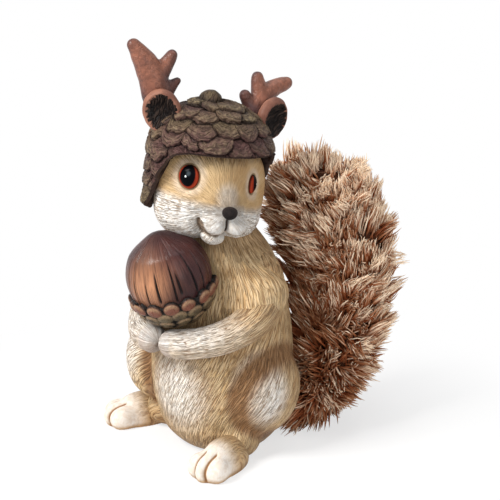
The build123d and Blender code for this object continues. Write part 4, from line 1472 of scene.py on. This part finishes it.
# Tail: places on its axis from the root to the top, and the half width and half depth there
TAIL_STATIONS = np.array([
    (16.6, 29.6, 13.0, 10.0, 8.5),
    (20.0, 37.5, 18.0, 15.5, 12.5),
    (21.5, 44.0, 27.5, 19.5, 16.5),
    (20.5, 50.0, 41.0, 24.5, 20.0),
    (18.5, 55.0, 60.0, 29.5, 23.5),
    (15.5, 55.5, 81.0, 32.5, 25.0),
    (12.0, 52.0, 98.0, 33.0, 26.0),
    (10.0, 50.0, 110.5, 29.5, 24.0),
    (9.5, 49.5, 119.5, 22.5, 19.5),
    (9.5, 49.5, 126.0, 12.0, 11.0),
])
TAIL_LINE, TAIL_HALF = TAIL_STATIONS[:, :3], TAIL_STATIONS[:, 3:]

# Shares of the tail's girth: the base's, the roots' and what the rear roots stand lower
BASE_SHARE = 0.73
ROOT_SHARE, REAR_SINK = 0.63, 0.04

# The pile's top: how far below the axis' end it closes, and how long its round end is
TOP_DROP, TOP_LENGTH = 12.5, 13.0
TUFT_SPREAD = 2.0
GOLDEN_TURN = math.pi * (3 - math.sqrt(5))

# By how far up the tail a hair stands: its lean along the tail, share of length and tone
LEAN = (0, 0.06, 0.13, 0.22, 0.4, 0.8, 1.0), (-2.4, -1.4, -0.4, 0.5, 1.2, 1.4, 1.1)
LENGTHS = (0, 0.06, 0.15, 0.3, 0.85, 1.0), (0.85, 0.72, 0.58, 0.84, 0.9, 0.55)
TONES = (0, 0.25, 0.6, 1), (-0.25, -0.16, 0.02, 0.25)

# A hair's rings: how far along it each is, and its half width in millimetres
HAIR_SHARE = np.array([0.0, 0.2, 0.42, 0.65, 0.86, 1.0])
HAIR_WIDTH = np.array([0.42, 0.5, 0.52, 0.44, 0.28, 0.05])


def tail_frame(at):
    """Places and directions along the tail's bent axis, at lengths from its root."""
    steps = np.concatenate([[0], np.cumsum(np.linalg.norm(np.diff(TAIL_LINE, axis=0), axis=1))])
    middle = curve_through(steps, TAIL_LINE, at)
    half = curve_through(steps, TAIL_HALF, at)
    ahead = curve_through(steps, TAIL_LINE, np.minimum(at + 0.5, steps[-1]))
    behind = curve_through(steps, TAIL_LINE, np.maximum(at - 0.5, 0))
    along = ahead - behind
    along /= np.linalg.norm(along, axis=-1)[..., None]
    across = np.array([1.0, 0, 0]) - along * along[..., :1]
    across /= np.linalg.norm(across, axis=-1)[..., None]
    return middle, half, along, across, np.cross(along, across), steps[-1]


def build_pile_base():
    """Rings at a share of the tail's girth, drawn in at both ends."""
    rows, columns = 90, 72
    total = tail_frame(np.array([0.0]))[5]
    at = np.linspace(1.0, total - 6.0, rows)
    middle, half, along, across, third, _ = tail_frame(at)
    turn = full_turn(columns)
    ends = np.sqrt(np.clip(1 - ((at - total / 2) / (total / 2)) ** 8, 0, 1))
    size = half * BASE_SHARE * ends[:, None]
    ring = across[:, None] * np.cos(turn)[None, :, None] * size[:, :1, None]
    ring = ring + third[:, None] * np.sin(turn)[None, :, None] * size[:, 1:, None]
    return closed_grid("pile_base", middle[:, None] + ring)


def three_sided(path, generator):
    """Three corners at each ring of each hair, square to a line from its root to its tip."""
    step = path[:, -1] - path[:, 0]
    step /= np.linalg.norm(step, axis=1)[:, None]
    first = np.cross(step, generator.normal(0, 1, (len(path), 3)))
    first /= np.linalg.norm(first, axis=1)[:, None]
    second = np.cross(step, first)
    corner = np.array([0, 2 * math.pi / 3, 4 * math.pi / 3])
    side = first[:, None] * np.cos(corner)[None, :, None]
    side = side + second[:, None] * np.sin(corner)[None, :, None]
    return path[:, :, None] + side[:, None] * HAIR_WIDTH[None, :, None, None]


def tuft_places(generator, tufts, batch, batches, top):
    """Where a batch's tufts stand along the tail and round it: evenly by area, a golden turn apart."""
    steps = np.linspace(0, top + TOP_LENGTH, 300)
    girth = tail_frame(np.minimum(steps, top))[1].mean(1) * np.where(steps > top, 0.5, 1.0)
    area = np.cumsum(girth + 2.0)
    number = np.arange(tufts) * batches + batch
    order = (number + generator.uniform(0, 1, tufts)) / (tufts * batches)
    tuft_at = np.interp(order, area / area[-1], steps)
    return tuft_at, number * GOLDEN_TURN + generator.normal(0, 0.08, tufts)


def pile_strands(count, length, seed, tufts, batch, batches):
    """Tapering hairs in tufts: spread at the root, drawn together and bent at the tip."""
    generator = np.random.default_rng(seed + batch)
    top = tail_frame(np.array([0.0]))[5] - TOP_DROP
    tuft_at, tuft_turn = tuft_places(generator, tufts, batch, batches, top)
    tuft = generator.integers(0, tufts, count)
    spread = generator.normal(0, TUFT_SPREAD, (count, 2))
    place = tuft_at[tuft] + spread[:, 0]
    at = np.clip(place, 0, top)
    inward = 1 - 0.95 * np.clip((place - top) / TOP_LENGTH, 0, 1)
    turn = tuft_turn[tuft] + spread[:, 1] / (0.6 * tail_frame(at)[1].mean(1))
    middle, half, along, across, third, _ = tail_frame(at)
    ahead, aside = across * np.cos(turn)[:, None], third * np.sin(turn)[:, None]
    radial = ahead * half[:, :1] + aside * half[:, 1:]
    outward = ahead / half[:, :1] + aside / half[:, 1:]
    outward /= np.linalg.norm(outward, axis=1)[:, None]
    rear = np.clip(outward[:, 0] + outward[:, 1], 0, 1)
    root = middle + radial * ((ROOT_SHARE - REAR_SINK * rear) * inward)[:, None]
    sideways = np.cross(along, outward)
    rise = at / top
    wander = generator.normal(0, 0.30, (tufts, 3))[tuft] + generator.normal(0, 0.05, (count, 3))
    lean = np.interp(rise, *LEAN)
    heading = outward * inward[:, None] + along * (lean + 1.2 * (1 - inward))[:, None] + wander
    heading /= np.linalg.norm(heading, axis=1)[:, None]
    size = length * generator.uniform(0.78, 1.15, tufts)[tuft] * generator.uniform(0.7, 1.05, count)
    size = size * np.interp(rise, *LENGTHS)
    size = size * (1 - (0.10 + 0.24 * ease(0.7, 1.0, rise)) * rear)
    pull = generator.normal(0, 2.6, (tufts, 3))[tuft] - outward * 1.5
    draw = along * spread[:, :1] + sideways * spread[:, 1:]
    share = HAIR_SHARE
    wave = generator.normal(0, 0.55, (count, 3))
    path = root[:, None] + heading[:, None] * (size[:, None] * share)[..., None]
    path = path + pull[:, None] * (share**2)[None, :, None]
    path = path - draw[:, None] * (0.8 * share**1.5)[None, :, None]
    path = path + wave[:, None] * np.sin(share * 5.0)[None, :, None]
    path[..., 2] = np.maximum(path[..., 2], 0.7)
    points = three_sided(path, generator)
    tone = generator.normal(0.36, 0.22, tufts)[tuft] + generator.normal(0, 0.27, count)
    tone = tone + np.interp(rise, *TONES) + 0.17 * (outward[:, 0] + outward[:, 1])
    return points, np.clip(tone, 0.01, 0.99)


def build_pile(name, count, length, seed, tufts, batch, batches):
    """One batch of hairs as a mesh, with a map from tone across and root to tip up."""
    points, tone = pile_strands(count, length, seed, tufts, batch, batches)
    rings = len(HAIR_SHARE)
    per = rings * 3
    local = []
    for ring in range(rings - 1):
        for side in range(3):
            after = (side + 1) % 3
            a, b = ring * 3 + side, ring * 3 + after
            local.append((a, b, b + 3))
            local.append((a, b + 3, a + 3))
    local.append((0, 2, 1))
    local.append((per - 3, per - 2, per - 1))
    local = np.array(local)
    faces = (local[None] + (np.arange(count) * per)[:, None, None]).reshape(-1, 3)
    mesh = bpy.data.meshes.new(name)
    mesh.vertices.add(count * per)
    mesh.vertices.foreach_set("co", (points.reshape(-1, 3) * MM).astype(np.float32).ravel())
    mesh.loops.add(len(faces) * 3)
    mesh.loops.foreach_set("vertex_index", faces.astype(np.int32).ravel())
    mesh.polygons.add(len(faces))
    mesh.polygons.foreach_set("loop_start", np.arange(0, len(faces) * 3, 3, dtype=np.int32))
    mesh.polygons.foreach_set("use_smooth", np.ones(len(faces), dtype=bool))
    mesh.update(calc_edges=True)
    layer = mesh.uv_layers.new(name="OFBake")
    corner = faces.ravel()
    strand, ring, side = corner // per, (corner % per) // 3, corner % 3
    across = np.clip(tone[strand] + (side - 1) * 0.0008, 0.0, 1.0)
    places = np.stack([across, 0.02 + 0.96 * HAIR_SHARE[ring]], -1)
    layer.data.foreach_set("uv", places.astype(np.float32).ravel())
    piece = bpy.data.objects.new(name, mesh)
    bpy.context.scene.collection.objects.link(piece)
    return piece


def dress(piece, material, slot, body, *nodes):
    """Paints a piece, puts it on its body and lets it stand for its CAD nodes."""
    piece.data.materials.clear()
    piece.data.materials.append(material)
    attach(piece, body)
    if nodes:
        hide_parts(*nodes)
    return piece


# Settings a user would change
class PileSettings(bpy.types.PropertyGroup):
    hairs: IntProperty(name="Hairs", description="Hairs in the tail's pile", default=34000, min=1000)
    batches: IntProperty(name="Batches", description="Meshes that share the hairs", default=6, min=1)
    length: FloatProperty(name="Length", description="Length of a hair in millimetres", default=20.0, min=2)
    tufts: IntProperty(name="Tufts", description="Tufts in each batch", default=150, min=10)
    seed: IntProperty(name="Seed", description="Which arrangement of hairs", default=7)


class HatSettings(bpy.types.PropertyGroup):
    seed: IntProperty(name="Seed", description="Which arrangement of scales", default=5)


class AcornSettings(bpy.types.PropertyGroup):
    seed: IntProperty(name="Seed", description="Which arrangement of grooves and knobs", default=3)


class StageSettings(bpy.types.PropertyGroup):
    floor: FloatVectorProperty(
        name="Floor",
        description="Colour of the floor",
        subtype="COLOR",
        default=(0.92, 0.92, 0.92),
        min=0,
        max=1,
    )


class SQUIRREL_OT_body(bpy.types.Operator):
    """The torso, arms and feet"""

    bl_idname = "squirrel.body"
    bl_label = "Body"

    def execute(self, context):
        paint = painted_fur()
        dress(build_torso(), paint, "body_resin", "figure", "torso")
        dress(build_arm("left"), paint, "body_resin", "figure", "left_arm")
        dress(build_arm("right"), paint, "body_resin", "figure", "right_arm")
        dress(build_foot("left"), paint, "foot_resin", "figure", "left_foot")
        dress(build_foot("right"), paint, "foot_resin", "figure", "right_foot")
        return {"FINISHED"}


class SQUIRREL_OT_head(bpy.types.Operator):
    """The head with its eyes and nose"""

    bl_idname = "squirrel.head"
    bl_label = "Head"

    def execute(self, context):
        dress(build_head(), bpy.data.materials["painted fur"], "body_resin", "figure", "head")
        eye = eye_paint()
        dress(build_eye("left"), eye, "eye_bead", "figure", "left_eye")
        dress(build_eye("right"), eye, "eye_bead", "figure", "right_eye")
        paint = mottled_finish("nose paint", NOSE_BROWN, 0.55, specular=0.15, size=260.0, specks=0.15)
        dress(build_nose(), paint, "nose_paint", "figure", "nose")
        return {"FINISHED"}


class SQUIRREL_OT_hat(bpy.types.Operator):
    """The acorn-cap hat with its ears and antlers"""

    bl_idname = "squirrel.hat"
    bl_label = "Hat"

    def execute(self, context):
        settings = context.scene.squirrel_hat
        dress(build_hat(settings.seed), hat_bark(), "hat_resin", "figure", "hat")
        ear, antler = ear_paint(), antler_paint()
        for name in ("left", "right"):
            dress(build_ear(name), ear, "ear_resin", "figure", f"{name}_ear")
            dress(build_antler(name), antler, "antler_resin", "figure", f"{name}_antler")
        return {"FINISHED"}


class SQUIRREL_OT_acorn(bpy.types.Operator):
    """The acorn's nut and cup"""

    bl_idname = "squirrel.acorn"
    bl_label = "Acorn"

    def execute(self, context):
        settings = context.scene.squirrel_acorn
        dress(build_nut(settings.seed), nut_paint(), "nut_resin", "figure", "acorn_nut")
        dress(build_cup(settings.seed), cup_paint(), "cup_resin", "figure", "acorn_cup")
        return {"FINISHED"}


class SQUIRREL_OT_tail(bpy.types.Operator):
    """The tail's matted ground and its pile"""

    bl_idname = "squirrel.tail"
    bl_label = "Tail"

    def execute(self, context):
        settings = context.scene.squirrel_pile
        ground = mottled_finish("pile base", PILE_GROUND, 0.9, specular=0.1, size=160.0, specks=0.8)
        dress(build_pile_base(), ground, "tail_pile", "tail", "tail_fur")
        hair = pile_hair()
        share = settings.hairs // settings.batches
        shape = settings.length, settings.seed, settings.tufts
        for batch in range(settings.batches):
            piece = build_pile(f"pile_{batch}", share, *shape, batch, settings.batches)
            dress(piece, hair, "tail_pile", "tail")
        return {"FINISHED"}


class SQUIRREL_OT_insides(bpy.types.Operator):
    """Finishes for the pieces that are hidden inside"""

    bl_idname = "squirrel.insides"
    bl_label = "Insides"

    def execute(self, context):
        steel = mottled_finish("drawn steel", STEEL, 0.35, metallic=1.0)
        resin = mottled_finish("bare resin", RESIN, 0.7)
        cloth = mottled_finish("knitted backing", BACKING, 0.9, size=400.0)
        fibre = mottled_finish("white fibre", FIBRE, 0.95, size=300.0)
        finishes = (
            (steel, ("neck_dowel", "antler_pins", "arm_pins", "foot_pins", "acorn_pin", "tail_wire")),
            (resin, ("base_plug", "tail_plug")),
            (cloth, ("tail_sleeve",)),
            (fibre, ("tail_stuffing",)),
        )
        for finish, names in finishes:
            for name in names:
                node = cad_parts[name]
                node.data.materials.clear()
                node.data.materials.append(finish)
        return {"FINISHED"}


class SQUIRREL_OT_stage(bpy.types.Operator):
    """The floor, the lamps, the world and the camera"""

    bl_idname = "squirrel.stage"
    bl_label = "Stage"

    def execute(self, context):
        scene = context.scene
        scene.view_settings.view_transform = "Standard"
        build_floor(scene.squirrel_stage.floor)
        build_world(scene)
        for lamp in LAMPS:
            add_lamp(*lamp)
        build_camera(scene)
        return {"FINISHED"}


# The floor's half width and height in millimetres, and the distances in metres where it turns white
FLOOR_HALF, FLOOR_LEVEL = 3000.0, -0.05
WHITE_FROM, WHITE_TO = 0.07, 0.17
WHITE_NEAR, WHITE_MORE = 0.65, 0.35

SKY_COLOUR, SKY_STRENGTH = (0.93, 0.96, 1.0, 1.0), 0.26

# Lamps: name, place, size, power and colour, all looking at one target
LAMP_TARGET = (0.0, 0.01, 0.09)
LAMPS = (
    ("key", (-0.20, -0.72, 0.78), 0.42, 13.5, (1.0, 0.98, 0.95)),
    ("fill", (0.85, -0.25, 0.45), 0.7, 3.0, (0.96, 0.98, 1.0)),
    ("top", (0.1, 0.25, 0.95), 0.6, 2.6, (1.0, 1.0, 1.0)),
)

# The camera: its direction, its distance, the height it looks at and how far that is to the side
CAMERA_TURN, CAMERA_RISE = math.radians(46.0), math.radians(18.0)
CAMERA_DISTANCE = 0.620
CAMERA_HEIGHT, CAMERA_SHIFT = 0.088, 0.010
CAMERA_LENS, CAMERA_SENSOR = 100.44, 36.0


def seen_directly(n):
    """1 for rays from the camera, in gloss and through glass, and 0 for the rest."""
    path = n.add("ShaderNodeLightPath")
    seen = n.math("MAXIMUM", path.outputs["Is Camera Ray"], path.outputs["Is Transmission Ray"])
    return n.math("MAXIMUM", seen, path.outputs["Is Glossy Ray"])


def white_to_camera(n, shader, output, share):
    """Shows plain white to the camera by a share, and the shader's own light elsewhere."""
    white = n.add("ShaderNodeEmission")
    mixer = n.add("ShaderNodeMixShader")
    n.link(n.math("MULTIPLY", seen_directly(n), share), mixer.inputs[0])
    n.link(shader.outputs[0], mixer.inputs[1])
    n.link(white.outputs[0], mixer.inputs[2])
    n.link(mixer.outputs[0], output.inputs["Surface"])


def build_floor(colour):
    """A wide pale floor that turns to plain white away from the ornament's shadow."""
    signs = ((-1, -1), (1, -1), (1, 1), (-1, 1))
    points = np.array([(FLOOR_HALF * x, FLOOR_HALF * y, FLOOR_LEVEL) for x, y in signs])
    floor = make_object("floor", points, [[0, 1, 2, 3]], smooth=False)
    material, n, shader = new_material("pale floor", roughness=0.8)
    shader.inputs["Base Color"].default_value = (*colour, 1.0)
    away = n.add("ShaderNodeVectorMath", operation="LENGTH")
    n.link(n.place(), away.inputs[0])
    far = n.ramp(away.outputs["Value"], WHITE_FROM, WHITE_TO)
    share = n.math("MULTIPLY_ADD", far, WHITE_MORE, WHITE_NEAR)
    white_to_camera(n, shader, material.node_tree.nodes["Material Output"], share)
    floor.data.materials.append(material)


def build_world(scene):
    """An even pale sky that looks white to the camera and in gloss."""
    world = bpy.data.worlds.new("pale sky")
    scene.world = world
    world.use_nodes = True
    sky = world.node_tree.nodes["Background"]
    sky.inputs[0].default_value = SKY_COLOUR
    sky.inputs[1].default_value = SKY_STRENGTH
    n = Nodes(world.node_tree)
    plain = n.add("ShaderNodeBackground")
    plain.inputs[0].default_value = (1.0, 1.0, 1.0, 1.0)
    mixer = n.add("ShaderNodeMixShader")
    n.link(seen_directly(n), mixer.inputs[0])
    n.link(sky.outputs[0], mixer.inputs[1])
    n.link(plain.outputs[0], mixer.inputs[2])
    n.link(mixer.outputs[0], world.node_tree.nodes["World Output"].inputs["Surface"])


def add_lamp(name, place, size, power, colour):
    """A square soft lamp that looks at the lamps' target."""
    data = bpy.data.lights.new(name, "AREA")
    data.shape = "SQUARE"
    data.size = size
    data.energy = power
    data.color = colour
    lamp = bpy.data.objects.new(name, data)
    bpy.context.scene.collection.objects.link(lamp)
    lamp.location = Vector(place)
    lamp.rotation_euler = (Vector(LAMP_TARGET) - Vector(place)).to_track_quat("-Z", "Y").to_euler()


def build_camera(scene):
    """The photograph's view: from the squirrel's front left, a little above it."""
    turn, rise = CAMERA_TURN, CAMERA_RISE
    target = Vector((CAMERA_SHIFT * math.cos(turn), CAMERA_SHIFT * math.sin(turn), CAMERA_HEIGHT))
    back = Vector((math.sin(turn) * math.cos(rise), -math.cos(turn) * math.cos(rise), math.sin(rise)))
    data = bpy.data.cameras.new("camera")
    data.lens = CAMERA_LENS
    data.sensor_width = CAMERA_SENSOR
    camera = bpy.data.objects.new("camera", data)
    scene.collection.objects.link(camera)
    camera.location = target + back * CAMERA_DISTANCE
    camera.rotation_euler = back.to_track_quat("Z", "Y").to_euler()
    scene.camera = camera


class SQUIRREL_PT_panel(bpy.types.Panel):
    """Lists what builds each group of pieces"""

    bl_idname = "SQUIRREL_PT_panel"
    bl_label = "Squirrel ornament"
    bl_space_type = "VIEW_3D"
    bl_region_type = "UI"
    bl_category = "Squirrel"

    def draw(self, context):
        layout = self.layout
        scene = context.scene
        for name in SETTINGS:
            settings = getattr(scene, name)
            for key in settings.bl_rna.properties.keys():
                if key not in {"rna_type", "name"}:
                    layout.prop(settings, key)
        for operator in OPERATORS:
            layout.operator(operator.bl_idname)


OPERATORS = (
    SQUIRREL_OT_body,
    SQUIRREL_OT_head,
    SQUIRREL_OT_hat,
    SQUIRREL_OT_acorn,
    SQUIRREL_OT_tail,
    SQUIRREL_OT_insides,
    SQUIRREL_OT_stage,
)
SETTINGS = {
    "squirrel_pile": PileSettings,
    "squirrel_hat": HatSettings,
    "squirrel_acorn": AcornSettings,
    "squirrel_stage": StageSettings,
}


def register():
    """Adds the settings, the operators and the panel."""
    for group in SETTINGS.values():
        bpy.utils.register_class(group)
    for operator in (*OPERATORS, SQUIRREL_PT_panel):
        bpy.utils.register_class(operator)
    for name, group in SETTINGS.items():
        setattr(bpy.types.Scene, name, PointerProperty(type=group))


def unregister():
    """Takes the panel, the operators and the settings away."""
    for name in SETTINGS:
        delattr(bpy.types.Scene, name)
    for operator in (*OPERATORS, SQUIRREL_PT_panel):
        bpy.utils.unregister_class(operator)
    for group in SETTINGS.values():
        bpy.utils.unregister_class(group)


def main():
    """Builds every group of pieces."""
    register()
    bpy.ops.squirrel.body()
    bpy.ops.squirrel.head()
    bpy.ops.squirrel.hat()
    bpy.ops.squirrel.acorn()
    bpy.ops.squirrel.tail()
    bpy.ops.squirrel.insides()
    bpy.ops.squirrel.stage()


if __name__ == "__main__":
    main()
